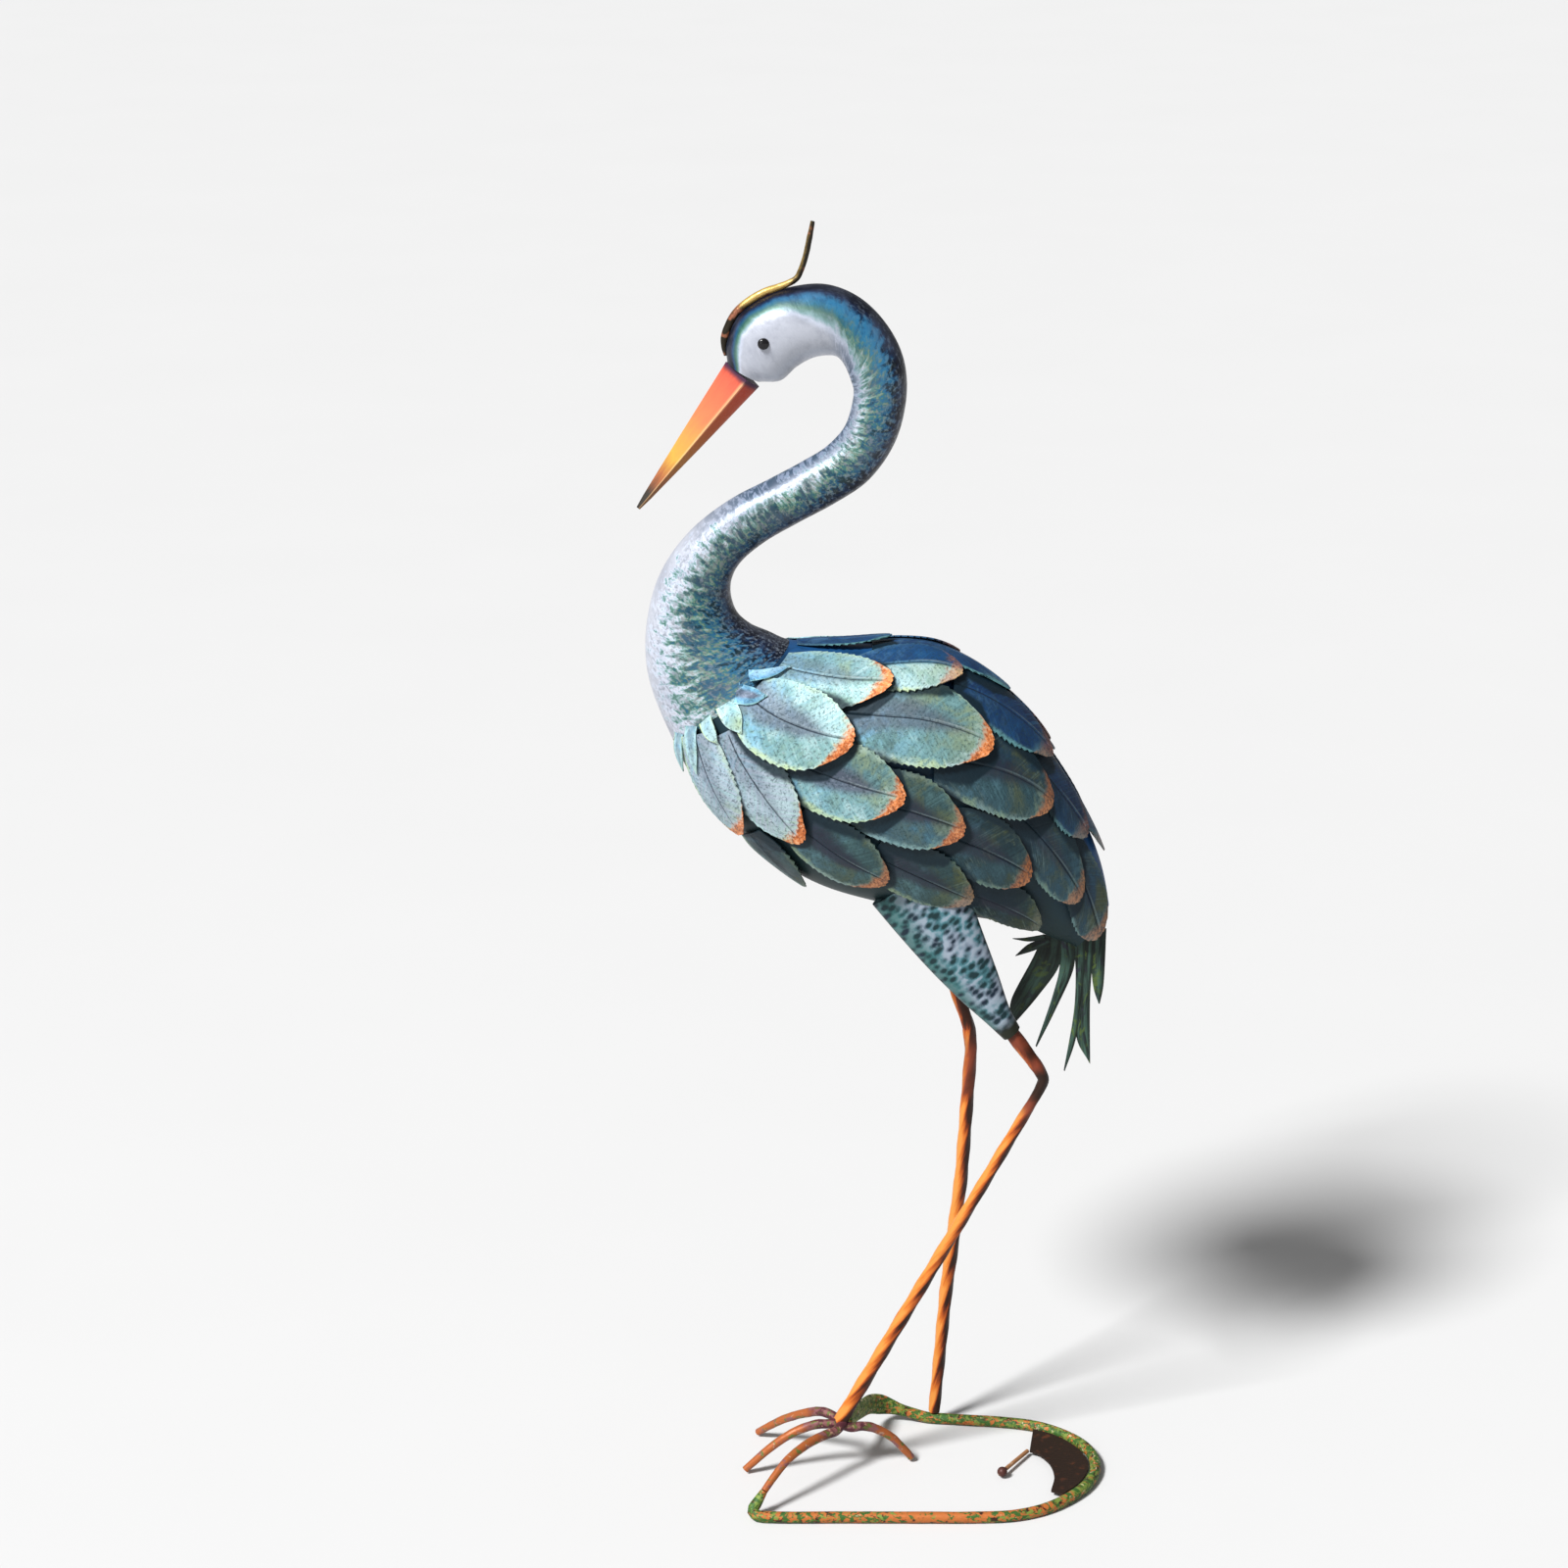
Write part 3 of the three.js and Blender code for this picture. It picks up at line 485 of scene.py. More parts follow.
def straight(path, step, softenings=3):
    """Points along straight stretches, with the path's own corners kept a little rounded."""
    path = np.asarray(path, float)
    points = [path[:1]]
    for a, b in zip(path[:-1], path[1:]):
        count = max(int(round(np.linalg.norm(b - a) / step)), 1)
        points.append(a + (b - a) * np.linspace(0, 1, count + 1)[1:, None])
    points = np.vstack(points)
    for _ in range(softenings):
        points[1:-1] = points[1:-1] * 0.5 + (points[:-2] + points[2:]) * 0.25
    return points


def bar_rings(path, corners, wide, tall=None, twist=0.0):
    """Rings of a bar along a path in the bird's frame. Corners are (radius, degrees), wide and tall
    are shares of them at each point of the path, and twist is in degrees there."""
    leave = np.diff(path, axis=0)
    leave /= np.linalg.norm(leave, axis=1)[:, None]
    run = np.vstack([leave[:1], leave[:-1] + leave[1:], leave[-1:]])
    run /= np.linalg.norm(run, axis=1)[:, None]
    side = np.stack([-run[:, 1], run[:, 0], 0 * run[:, 0]], -1)
    upright = np.linalg.norm(side, axis=1) < 0.2
    side[upright] = (0, 1, 0)
    for i in range(1, len(side)):
        if side[i] @ side[i - 1] < 0:
            side[i] *= -1
    up = np.cross(run, side)
    up /= np.linalg.norm(up, axis=1)[:, None]
    side = np.cross(up, run)
    radius, turn = np.array(corners, float).T
    turn = np.radians(turn + np.reshape(twist, (-1, 1)))
    tall = wide if tall is None else tall
    across = radius * np.cos(turn) * np.reshape(wide, (-1, 1))
    upward = radius * np.sin(turn) * np.reshape(tall, (-1, 1))
    rings = path[:, None] + across[..., None] * side[:, None] + upward[..., None] * up[:, None]
    rings[..., 1] += MIDDLE_Y
    return rings


def round_corners(diameter, sides):
    return [(diameter / 2, 360 * (j + 0.5) / sides) for j in range(sides)]


def ripple(points, size, seed):
    """Smooth uneven values from -1 to 1 over points, the same each run."""
    points = np.asarray(points, float) / size
    rng = np.random.default_rng(seed)
    total = np.zeros(points.shape[:-1])
    for _ in range(7):
        way = rng.normal(size=3)
        way *= rng.uniform(0.6, 1.8) / np.linalg.norm(way)
        total += np.sin(points @ way * 2 * math.pi + rng.uniform(0, 6.28))
    return total / 3.5


def places(*values):
    """Paint coordinates in metres from three values in mm, spread over one grid."""
    return np.stack(np.broadcast_arrays(*values), -1) * MM


def bar_places(rings, gone):
    """Paint coordinates of a bar: along it, and across it."""
    off = rings - rings.mean(1, keepdims=True)
    return places(gone[:, None], off[..., 1] + off[..., 0], off[..., 2])


# Meshes


def tube_faces(rings, sides, first=0):
    faces = []
    for i in range(rings - 1):
        for j in range(sides):
            a, b = first + i * sides + j, first + i * sides + (j + 1) % sides
            faces.append((a, b, b + sides, a + sides))
    end = first + (rings - 1) * sides
    faces.append(tuple(first + j for j in reversed(range(sides))))
    faces.append(tuple(end + j for j in range(sides)))
    return faces


def sheet_faces(rows, columns, first=0):
    """Faces of a closed sheet whose under points come before its over points."""
    layer = rows * columns
    faces = []
    for i in range(rows - 1):
        for j in range(columns - 1):
            a = first + i * columns + j
            b, c, d = a + 1, a + columns + 1, a + columns
            faces.append((a, b, c, d))
            faces.append((d + layer, c + layer, b + layer, a + layer))
    rim = list(range(columns))
    rim += [i * columns + columns - 1 for i in range(1, rows)]
    rim += [(rows - 1) * columns + j for j in reversed(range(columns - 1))]
    rim += [i * columns for i in reversed(range(1, rows - 1))]
    for a, b in zip(rim, rim[1:] + rim[:1]):
        faces.append((first + a, first + a + layer, first + b + layer, first + b))
    return faces


class Build:
    """Collects points, faces and paint values of one piece."""

    def __init__(self):
        self.points, self.faces, self.paint, self.count = [], [], {}, 0

    def add(self, grids, faces, paint):
        """Adds grids of points and the faces over them. Each paint value spreads over a whole grid."""
        shape = grids[0].shape[:2]
        for key, values in paint.items():
            values = np.asarray(values, float)
            if values.ndim < 3:
                values = np.broadcast_to(values, shape)[..., None]
            self.paint.setdefault(key, []).extend([values.reshape(-1, values.shape[-1])] * len(grids))
        self.points += [grid.reshape(-1, 3) for grid in grids]
        self.faces += faces(*shape, self.count)
        self.count += len(grids) * shape[0] * shape[1]

    def tube(self, rings, **paint):
        self.add([rings], tube_faces, paint)

    def sheet(self, under, over, **paint):
        self.add([under, over], sheet_faces, paint)

    def finish(self, name, material, slot, nodes, sharp=38):
        mesh = bpy.data.meshes.new(name)
        mesh.from_pydata((np.concatenate(self.points) * MM).tolist(), [], self.faces)
        for key, parts in self.paint.items():
            values = np.concatenate(parts)
            kind, field = ("FLOAT_VECTOR", "vector") if values.shape[1] == 3 else ("FLOAT", "value")
            mesh.attributes.new(key, kind, "POINT").data.foreach_set(field, values.ravel())
        turn_out(mesh)
        mesh.shade_smooth()
        mesh.set_sharp_from_angle(angle=math.radians(sharp))
        mesh.materials.append(material)
        piece = bpy.data.objects.new(name, mesh)
        bpy.context.scene.collection.objects.link(piece)
        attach(piece, "root")
        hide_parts(*nodes)


def turn_out(mesh):
    """Turns the faces outwards, all at once, if the mesh is inside out."""
    points = np.empty(len(mesh.vertices) * 3)
    mesh.vertices.foreach_get("co", points)
    mesh.calc_loop_triangles()
    triangles = np.empty(len(mesh.loop_triangles) * 3, int)
    mesh.loop_triangles.foreach_get("vertices", triangles)
    a, b, c = points.reshape(-1, 3)[triangles.reshape(-1, 3).T]
    if np.einsum("ij,ij->i", a, np.cross(b, c)).sum() < 0:
        mesh.flip_normals()


def tube_piece(name, node, material, slot, rings, sharp=38, **paint):
    """Makes one piece from one tube. It stands for one node."""
    build = Build()
    build.tube(rings, **paint)
    build.finish(name, material, slot, [node], sharp)


# Paint


class Paint:
    """Node-built paint for one finish, laid coat by coat on its colour."""

    def __init__(self, name, metallic=0.1, roughness=0.45, coat=0.0):
        self.material = bpy.data.materials.new(name)
        self.material.use_nodes = True
        self.tree = self.material.node_tree
        self.shader = self.tree.nodes["Principled BSDF"]
        self.shader.inputs["Metallic"].default_value = metallic
        self.shader.inputs["Roughness"].default_value = roughness
        self.shader.inputs["Coat Weight"].default_value = coat
        self.shader.inputs["Coat Roughness"].default_value = 0.25
        self.shader.inputs["Specular IOR Level"].default_value = 0.25
        self.colour = None

    def put(self, socket, value):
        if isinstance(value, bpy.types.NodeSocket):
            self.tree.links.new(value, socket)
        elif isinstance(value, (tuple, list)) and len(value) == 3 and socket.type == "RGBA":
            socket.default_value = (*value, 1)
        else:
            socket.default_value = value

    def node(self, kind, settings=(), **inputs):
        made = self.tree.nodes.new(kind)
        for key, value in dict(settings).items():
            setattr(made, key, value)
        for key, value in inputs.items():
            self.put(made.inputs[key.replace("_", " ")], value)
        return made

    def value(self, name):
        return self.node("ShaderNodeAttribute", {"attribute_name": name}).outputs["Fac"]

    def vector(self, name):
        return self.node("ShaderNodeAttribute", {"attribute_name": name}).outputs["Vector"]

    def where(self):
        return self.node("ShaderNodeTexCoord").outputs["Object"]

    def stretch(self, vector, scale):
        return self.node("ShaderNodeMapping", Vector=vector, Scale=scale).outputs[0]

    def cells(self, vector, random):
        """Distance from the middles of scattered cells, each one unit wide."""
        made = self.node("ShaderNodeTexVoronoi", {"feature": "SMOOTH_F1"}, Vector=vector, Scale=1.0)
        made.inputs["Smoothness"].default_value = 0.5
        made.inputs["Randomness"].default_value = random
        return made.outputs["Distance"]

    def noise(self, vector, scale, detail=3.0, roughness=0.55, distortion=0.0):
        made = self.node("ShaderNodeTexNoise", Vector=vector, Scale=scale, Detail=detail)
        made.inputs["Roughness"].default_value = roughness
        made.inputs["Distortion"].default_value = distortion
        return made.outputs[0]

    def math(self, how, a, b=0.0, c=0.0):
        made = self.node("ShaderNodeMath", {"operation": how})
        for socket, value in zip(made.inputs, (a, b, c)):
            self.put(socket, value)
        return made.outputs[0]

    def times(self, first, *others):
        for other in others:
            first = self.math("MULTIPLY", first, other)
        return first

    def stray(self, value, noise, amount):
        """Value made uneven by noise, up and down by half the amount."""
        return self.math("MULTIPLY_ADD", self.math("SUBTRACT", noise, 0.5), amount, value)

    def scale(self, value, low, high, to_low=0.0, to_high=1.0):
        """Value run from low..high to to_low..to_high, smoothly and held at the ends."""
        made = self.node("ShaderNodeMapRange", {"interpolation_type": "SMOOTHSTEP"}, Value=value)
        bounds = {"From Min": low, "From Max": high, "To Min": to_low, "To Max": to_high}
        for key, number in bounds.items():
            made.inputs[key].default_value = number
        return made.outputs[0]

    def ramp(self, value, stops):
        made = self.node("ShaderNodeValToRGB", Fac=value)
        band = made.color_ramp
        while len(band.elements) < len(stops):
            band.elements.new(0.5)
        for element, (place, colour) in zip(band.elements, stops):
            element.position = place
            element.color = (*colour, 1)
        return made.outputs[0]

    def mix(self, share, a, b):
        made = self.node("ShaderNodeMix", {"data_type": "RGBA", "clamp_result": True})
        for socket, value in ((made.inputs[0], share), (made.inputs[6], a), (made.inputs[7], b)):
            self.put(socket, value)
        return made.outputs[2]

    def lay(self, share, colour, strength=1.0):
        """Lays another colour over this share of the paint."""
        share = share if strength == 1.0 else self.times(share, strength)
        self.colour = self.mix(share, self.colour, colour)

    def finish(self, height, depth, roughness=None):
        """Ends the paint, with bumps of this height and depth in metres."""
        self.put(self.shader.inputs["Base Color"], self.colour)
        if roughness is not None:
            self.put(self.shader.inputs["Roughness"], roughness)
        bump = self.node("ShaderNodeBump", Height=height, Distance=depth, Strength=0.8)
        self.put(self.shader.inputs["Normal"], bump.outputs[0])
        return self.material


def colour_property(name, description, default):
    return FloatVectorProperty(
        name=name, description=description, default=default, subtype="COLOR", size=3, min=0, max=1
    )


def size_property(name, description, default):
    return FloatProperty(
        name=name, description=description, default=default, subtype="DISTANCE", unit="LENGTH", min=0
    )


class CraneSizes(bpy.types.PropertyGroup):
    """Sizes of the crane that a user may change"""

    feather_sheet: size_property("Feather sheet", "Thickness of a feather", 0.001)
    tooth_step: size_property("Tooth step", "Length of a tooth along a feather's edge", 0.0062)
    tooth_depth: size_property("Tooth depth", "Depth of the teeth in a feather's edge", 0.0016)
    vein_depth: size_property("Vein depth", "Depth of the crease down a feather", 0.0008)
    crest_rod: size_property("Crest rod", "Diameter of the crest's rod", 0.0055)
    leg_bar: size_property("Leg bar", "Side of the twisted square bar of the legs", 0.011)
    toe_root: size_property("Toe root", "Diameter of a toe at the ankle", 0.0078)
    toe_tip: size_property("Toe tip", "Diameter of a toe at its end", 0.0056)
    base_rod: size_property("Base rod", "Diameter of the base's rod", 0.009)
    eye_bead: size_property("Eye bead", "Diameter of an eye", 0.0086)


class CraneColours(bpy.types.PropertyGroup):
    """Paints of the crane that a user may change"""

    white: colour_property("White", "Front of the neck and the cheeks", (0.42, 0.44, 0.5))
    azure: colour_property("Azure", "Band along the back of the head and neck", (0.035, 0.21, 0.4))
    pale: colour_property("Pale teal", "Front feathers", (0.18, 0.35, 0.36))
    lavender: colour_property("Lavender", "Grey bloom on the feathers", (0.1, 0.115, 0.165))
    lime: colour_property("Lime", "Rims of the front feathers", (0.5, 0.62, 0.32))
    orange: colour_property("Orange", "Tips of the feathers", (0.8, 0.26, 0.08))
    gold: colour_property("Gold", "Crest", (0.5, 0.33, 0.1))
    rust: colour_property("Rust", "Bare stretches of the base's rod", (0.44, 0.13, 0.03))
    moss: colour_property("Moss", "Green patina of the base's rod", (0.035, 0.1, 0.018))


def colours():
    group = bpy.context.scene.crane_colours
    return {key: tuple(getattr(group, key)) for key in CraneColours.__annotations__}


def sizes():
    """Sizes in mm."""
    group = bpy.context.scene.crane_sizes
    return {key: getattr(group, key) / MM for key in CraneSizes.__annotations__}


def neck_paint():
    c = colours()
    p = Paint("neck brushed paint", metallic=0.12, roughness=0.34, coat=0.12)
    place, front, mottled = p.vector("place"), p.value("front"), p.value("mottled")
    azure, inner = p.value("azure"), p.value("inner")
    dabs = p.noise(p.stretch(place, (250, 90, 60)), 1.0, 3.0, 0.6, 0.5)
    speck = p.noise(place, 330.0, 3.0, 0.65, 0.3)
    cloud = p.noise(place, 48.0, 4.0, 0.6, 0.3)
    uneven = p.stray(p.stray(0.0, dabs, 1.3), speck, 0.9)
    uneven = p.times(uneven, p.scale(front, -0.72, -0.4, 0.25, 1.0))
    uneven = p.times(uneven, p.math("MULTIPLY_ADD", mottled, 0.88, 0.1))
    uneven = p.stray(uneven, cloud, 0.32)
    depth = p.math("ADD", p.math("ADD", front, 0.7), uneven)
    p.colour = p.ramp(
        depth,
        [
            (0.02, (0.003, 0.005, 0.014)),
            (0.14, (0.005, 0.018, 0.06)),
            (0.26, (0.008, 0.05, 0.11)),
            (0.4, (0.03, 0.095, 0.065)),
            (0.52, (0.09, 0.19, 0.15)),
            (0.62, (0.22, 0.34, 0.36)),
            (0.73, (0.5, 0.54, 0.64)),
            (0.9, c["white"]),
        ],
    )
    # yellow-green and dark dabs where white turns to teal
    middle = p.times(p.scale(p.math("ABSOLUTE", p.math("ADD", front, 0.3)), 0.34, 0.08), mottled)
    p.lay(p.times(p.scale(speck, 0.48, 0.6), middle), (0.15, 0.2, 0.045), 0.7)
    p.lay(p.times(p.scale(dabs, 0.54, 0.42), middle), (0.008, 0.03, 0.035), 0.85)
    # grey flecks on the white of the neck
    flecks = p.times(p.scale(speck, 0.5, 0.64), mottled, p.scale(front, 0.4, 0.0))
    p.lay(flecks, (0.16, 0.19, 0.23), 0.7)
    # lilac with dark strokes inside the bow of the neck
    p.lay(inner, (0.14, 0.19, 0.29), 0.85)
    p.lay(p.times(p.scale(dabs, 0.44, 0.55), inner), (0.02, 0.05, 0.085), 0.85)
    # painted shade greys the underside of the cheeks
    p.lay(p.scale(front, 1.9, 4.2, 0.0, 0.62), (0.16, 0.155, 0.14))
    # bright blue along the back of the head and the neck
    band = p.times(p.scale(depth, 0.08, 0.26), p.scale(depth, 0.54, 0.32))
    band = p.times(band, p.scale(dabs, 0.36, 0.54, 0.55, 1.0), azure)
    p.lay(band, c["azure"], 0.85)
    p.lay(p.scale(cloud, 0.42, 0.7, 0.0, 0.3), c["lavender"])
    height = p.math("MULTIPLY_ADD", speck, 0.5, dabs)
    return p.finish(height, 0.0004, p.scale(dabs, 0.3, 0.7, 0.3, 0.46))


def body_paint():
    p = Paint("shell shaded paint", metallic=0.15, roughness=0.5)
    cloud = p.noise(p.vector("place"), 60.0, 4.0, 0.6, 0.3)
    # dark teal, navy towards the ridge, kept darker still as painted shade, since the shell shows only
    # in the gaps between the feathers
    p.colour = p.ramp(
        p.stray(p.value("high"), cloud, 0.6),
        [
            (0.05, (0.01, 0.026, 0.026)),
            (0.45, (0.008, 0.026, 0.036)),
            (0.75, (0.006, 0.03, 0.07)),
            (0.95, (0.01, 0.07, 0.2)),
        ],
    )
    return p.finish(cloud, 0.0004)


class FeatherPaint(Paint):
    """The paint of all feathers, which differ by the values that each one carries."""

    def __init__(self):
        super().__init__(FEATHER_FINISH, metallic=0.22, roughness=0.46)
        self.run, self.low = self.value("run"), self.value("low")
        self.dark, self.blue = self.value("dark"), self.value("blue")
        place = self.vector("place")
        self.cloud = self.noise(place, 42.0, 4.0, 0.6, 0.4)
        self.mist = self.noise(place, 105.0, 3.0, 0.6, 0.8)
        self.speck = self.noise(place, 480.0, 3.0, 0.7)
        self.streak = self.noise(self.stretch(self.vector("barb"), (430, 45, 60)), 1.0, 3.0, 0.65)

    def lay_ground(self):
        """Teal or night blue, paler or darker, with dry strokes along the barbs."""
        tone = self.stray(self.dark, self.cloud, 0.8)
        tone = self.stray(self.stray(tone, self.streak, 0.5), self.speck, 0.35)
        teal = self.ramp(
            tone,
            [
                (0.0, (0.4, 0.58, 0.58)),
                (0.18, colours()["pale"]),
                (0.38, (0.085, 0.175, 0.185)),
                (0.62, (0.034, 0.074, 0.078)),
                (0.9, (0.009, 0.024, 0.026)),
            ],
        )
        night = self.ramp(
            tone,
            [
                (0.0, (0.3, 0.5, 0.66)),
                (0.3, (0.05, 0.2, 0.36)),
                (0.6, (0.012, 0.07, 0.19)),
                (0.95, (0.004, 0.014, 0.06)),
            ],
        )
        self.colour = self.mix(self.blue, teal, night)
        dry = self.times(self.scale(self.cloud, 0.4, 0.6), self.scale(self.dark, 0.4, 0.8))
        dry = self.times(self.scale(self.streak, 0.5, 0.68), dry)
        self.lay(dry, self.mix(self.blue, (0.13, 0.19, 0.17), (0.03, 0.13, 0.26)), 0.55)

    def lay_clouds(self):
        """Cooler at the root and low, yellower towards the tip and high, with pearl and grey bloom."""
        cool = self.times(self.scale(self.mist, 0.42, 0.66), self.scale(self.run, 0.75, 0.1))
        self.lay(self.times(cool, self.scale(self.dark, 0.8, 0.1, 0.12, 0.7)), (0.22, 0.48, 0.68))
        warm = self.times(self.scale(self.cloud, 0.44, 0.64), self.scale(self.run, 0.25, 0.75))
        warm = self.times(warm, self.scale(self.low, 0.9, -0.5, 0.35, 1.0))
        warm = self.times(warm, self.scale(self.blue, 0.8, 0.2))
        yellow = self.mix(self.scale(self.dark, 0.1, 0.8), (0.4, 0.5, 0.26), (0.09, 0.105, 0.035))
        self.lay(warm, yellow, 0.65)
        pearl = self.times(self.value("pearl"), self.scale(self.streak, 0.34, 0.6, 0.25, 0.85))
        self.lay(pearl, (0.38, 0.44, 0.52))
        # the bloom fans out from the vein's root
        fan = self.scale(self.stray(self.value("fan"), self.cloud, 0.55), 0.05, 0.7)
        violet = self.mix(self.scale(self.dark, 0.1, 0.7), colours()["lavender"], (0.018, 0.02, 0.035))
        self.lay(self.times(fan, self.value("bloom")), violet, 0.9)

    def lay_rim_and_edge_light(self):
        """A lighter rim with a wandering edge, and a pale one on the blue feathers."""
        edge = self.value("edge")
        rim = self.scale(self.stray(edge, self.mist, 0.5), 0.24, 0.03)
        rim = self.times(rim, self.scale(self.low, -0.7, 0.6, 0.45, 1.0))
        rim = self.times(rim, self.scale(self.dark, 0.95, 0.05, 0.15, 0.85))
        lime = self.mix(self.scale(self.cloud, 0.4, 0.6), colours()["lime"], (0.45, 0.62, 0.62))
        self.lay(rim, self.mix(self.times(self.blue, 0.8), lime, (0.08, 0.26, 0.3)))
        # painted light along the lower edges of the blue feathers
        hem = self.times(self.scale(edge, 0.22, 0.04), self.scale(self.low, 0.1, 0.6))
        self.lay(self.times(hem, self.blue, self.scale(self.run, 0.2, 0.5)), (0.13, 0.32, 0.33), 0.8)

    def lay_tip(self):
        """Worn orange round the tip."""
        corner = self.stray(self.stray(self.value("from_tip"), self.mist, 1.15), self.speck, 0.6)
        patch = self.times(self.scale(corner, 1.02, 0.55), self.value("orange"))
        patch = self.times(patch, self.scale(self.dark, 0.3, 0.9, 1.0, 0.8))
        bright = self.mix(self.scale(self.mist, 0.42, 0.6), (0.5, 0.13, 0.03), colours()["orange"])
        rust = self.mix(self.scale(self.speck, 0.48, 0.7, 0.0, 0.6), bright, (0.86, 0.5, 0.26))
        rust = self.mix(self.scale(self.streak, 0.46, 0.3, 0.0, 0.7), rust, (0.13, 0.035, 0.012))
        deep_rust = self.mix(self.scale(self.speck, 0.44, 0.6), (0.1, 0.03, 0.01), (0.3, 0.09, 0.022))
        self.lay(patch, self.mix(self.scale(self.dark, 0.3, 0.9, 0.0, 0.85), rust, deep_rust))

    def lay_vein(self):
        """Faint branches, the dark crease, a thin light line beside it near the tip, and specks."""
        vein = self.value("vein")
        self.lay(self.value("branch"), (0.015, 0.035, 0.045), 0.42)
        # painted shade in the crease
        crease = self.times(self.scale(vein, 0.15, 0.8), self.scale(self.run, 1.0, 0.45, 0.5, 0.9))
        self.lay(crease, (0.008, 0.012, 0.024))
        # painted highlight on the ridge beside the crease
        bead = self.times(self.scale(vein, -0.25, -0.85), self.scale(self.run, 0.4, 0.7, 0.0, 0.5))
        self.lay(bead, self.mix(self.scale(self.dark, 0.3, 0.8), (0.3, 0.36, 0.38), (0.12, 0.17, 0.18)))
        self.lay(self.scale(self.speck, 0.36, 0.49, 0.6, 0.0), (0.01, 0.028, 0.035))
        light = self.scale(self.speck, 0.56, 0.75, 0.0, 0.3)
        self.lay(self.times(light, self.scale(self.dark, 0.6, 0.1)), (0.6, 0.7, 0.74))

    def lay_shade(self):
        """Shade under the feathers above."""
        shade = self.stray(self.value("shade"), self.mist, 0.25)
        self.lay(self.scale(shade, 0.08, 0.85, 0.0, 0.93), (0.004, 0.014, 0.022))


def feather_paint():
    p = FeatherPaint()
    p.lay_ground()
    p.lay_clouds()
    p.lay_rim_and_edge_light()
    p.lay_tip()
    p.lay_vein()
    p.lay_shade()
    height = p.math("MULTIPLY_ADD", p.streak, 0.6, p.times(p.speck, 0.4))
    return p.finish(height, 0.0003, p.scale(p.cloud, 0.3, 0.7, 0.4, 0.58))


def beak_paint():
    p = Paint("beak graded paint", metallic=0.05, roughness=0.38, coat=0.2)
    run = p.value("run")
    streak = p.noise(p.stretch(p.vector("place"), (60, 420, 420)), 1.0, 3.0, 0.6)
    p.colour = p.ramp(
        p.stray(run, streak, 0.16),
        [
            (0.0, (0.36, 0.06, 0.035)),
            (0.07, (0.66, 0.1, 0.055)),
            (0.34, (0.64, 0.17, 0.07)),
            (0.5, (0.62, 0.26, 0.06)),
            (0.63, (0.56, 0.31, 0.05)),
            (0.76, (0.34, 0.11, 0.04)),
            (0.9, (0.035, 0.03, 0.024)),
        ],
    )
    # darker, redder lower facets: partly their own paint, partly painted shade
    below = p.mix(run, (0.34, 0.03, 0.008), (0.24, 0.1, 0.014))
    p.lay(p.scale(p.value("low"), 0.3, 0.8, 0.0, 0.75), below)
    # a painted highlight along the side edges, where the facets meet
    p.lay(p.value("crease"), (0.95, 0.6, 0.3), 0.6)
    p.lay(p.scale(run, 0.05, 0.01), (0.05, 0.015, 0.04))
    return p.finish(streak, 0.0002)


def rod_paint(name, base, dark, patches, metallic, roughness=0.48, coarse=90.0, drift=""):
    """Paint worn on a bent bar: its own colour, darker where shaded, with patches of other paints,
    which grow where the named drift is high."""
    p = Paint(name, metallic, roughness)
    place = p.vector("place")
    grain = p.noise(p.stretch(place, (1, 2.5, 2.5)), 260.0, 3.0, 0.6)
    p.colour = p.mix(p.scale(p.stray(p.value("shade"), grain, 0.5), 0.2, 0.85), base, dark)
    spread = p.value(drift) if drift else 0.0
    for number, (colour, low, high) in enumerate(patches):
        wide = p.stretch(place, (1, 1.3, 1.3))
        spots = p.noise(wide, coarse * (1 + 0.25 * number), 2.5, 0.6, 0.3 + 0.3 * number)
        p.lay(p.scale(p.math("ADD", spots, spread), low, high), colour)
    return p.finish(grain, 0.0004, p.scale(grain, 0.3, 0.7, roughness - 0.08, roughness + 0.1))


def thigh_paint():
    p = Paint("thigh dabbed paint", metallic=0.1, roughness=0.45)
    place = p.vector("place")
    cloud = p.noise(place, 60.0, 3.0, 0.6, 0.4)
    speck = p.noise(place, 300.0, 2.0, 0.6)
    dabs = p.cells(p.stretch(place, (200, 118, 40)), 0.85)
    dabs = p.stray(p.stray(dabs, speck, 0.32), cloud, 0.55)
    p.colour = p.mix(p.scale(cloud, 0.38, 0.6), (0.06, 0.17, 0.2), (0.18, 0.22, 0.28))
    p.lay(p.scale(dabs, 0.46, 0.7, 0.0, 0.7), (0.28, 0.33, 0.39))
    p.lay(p.value("left"), (0.025, 0.11, 0.1))
    # painted shade under the feathers at the top, and darker towards the lower end
    deep = p.mix(p.scale(cloud, 0.45, 0.6), (0.006, 0.024, 0.028), (0.005, 0.014, 0.028))
    p.lay(p.scale(p.math("SUBTRACT", dabs, p.value("deep")), 0.56, 0.16), deep)
    # painted shade along the front and back edges, and a dark collar at the end
    p.lay(p.value("rim"), (0.012, 0.014, 0.008))
    return p.finish(dabs, 0.0004)


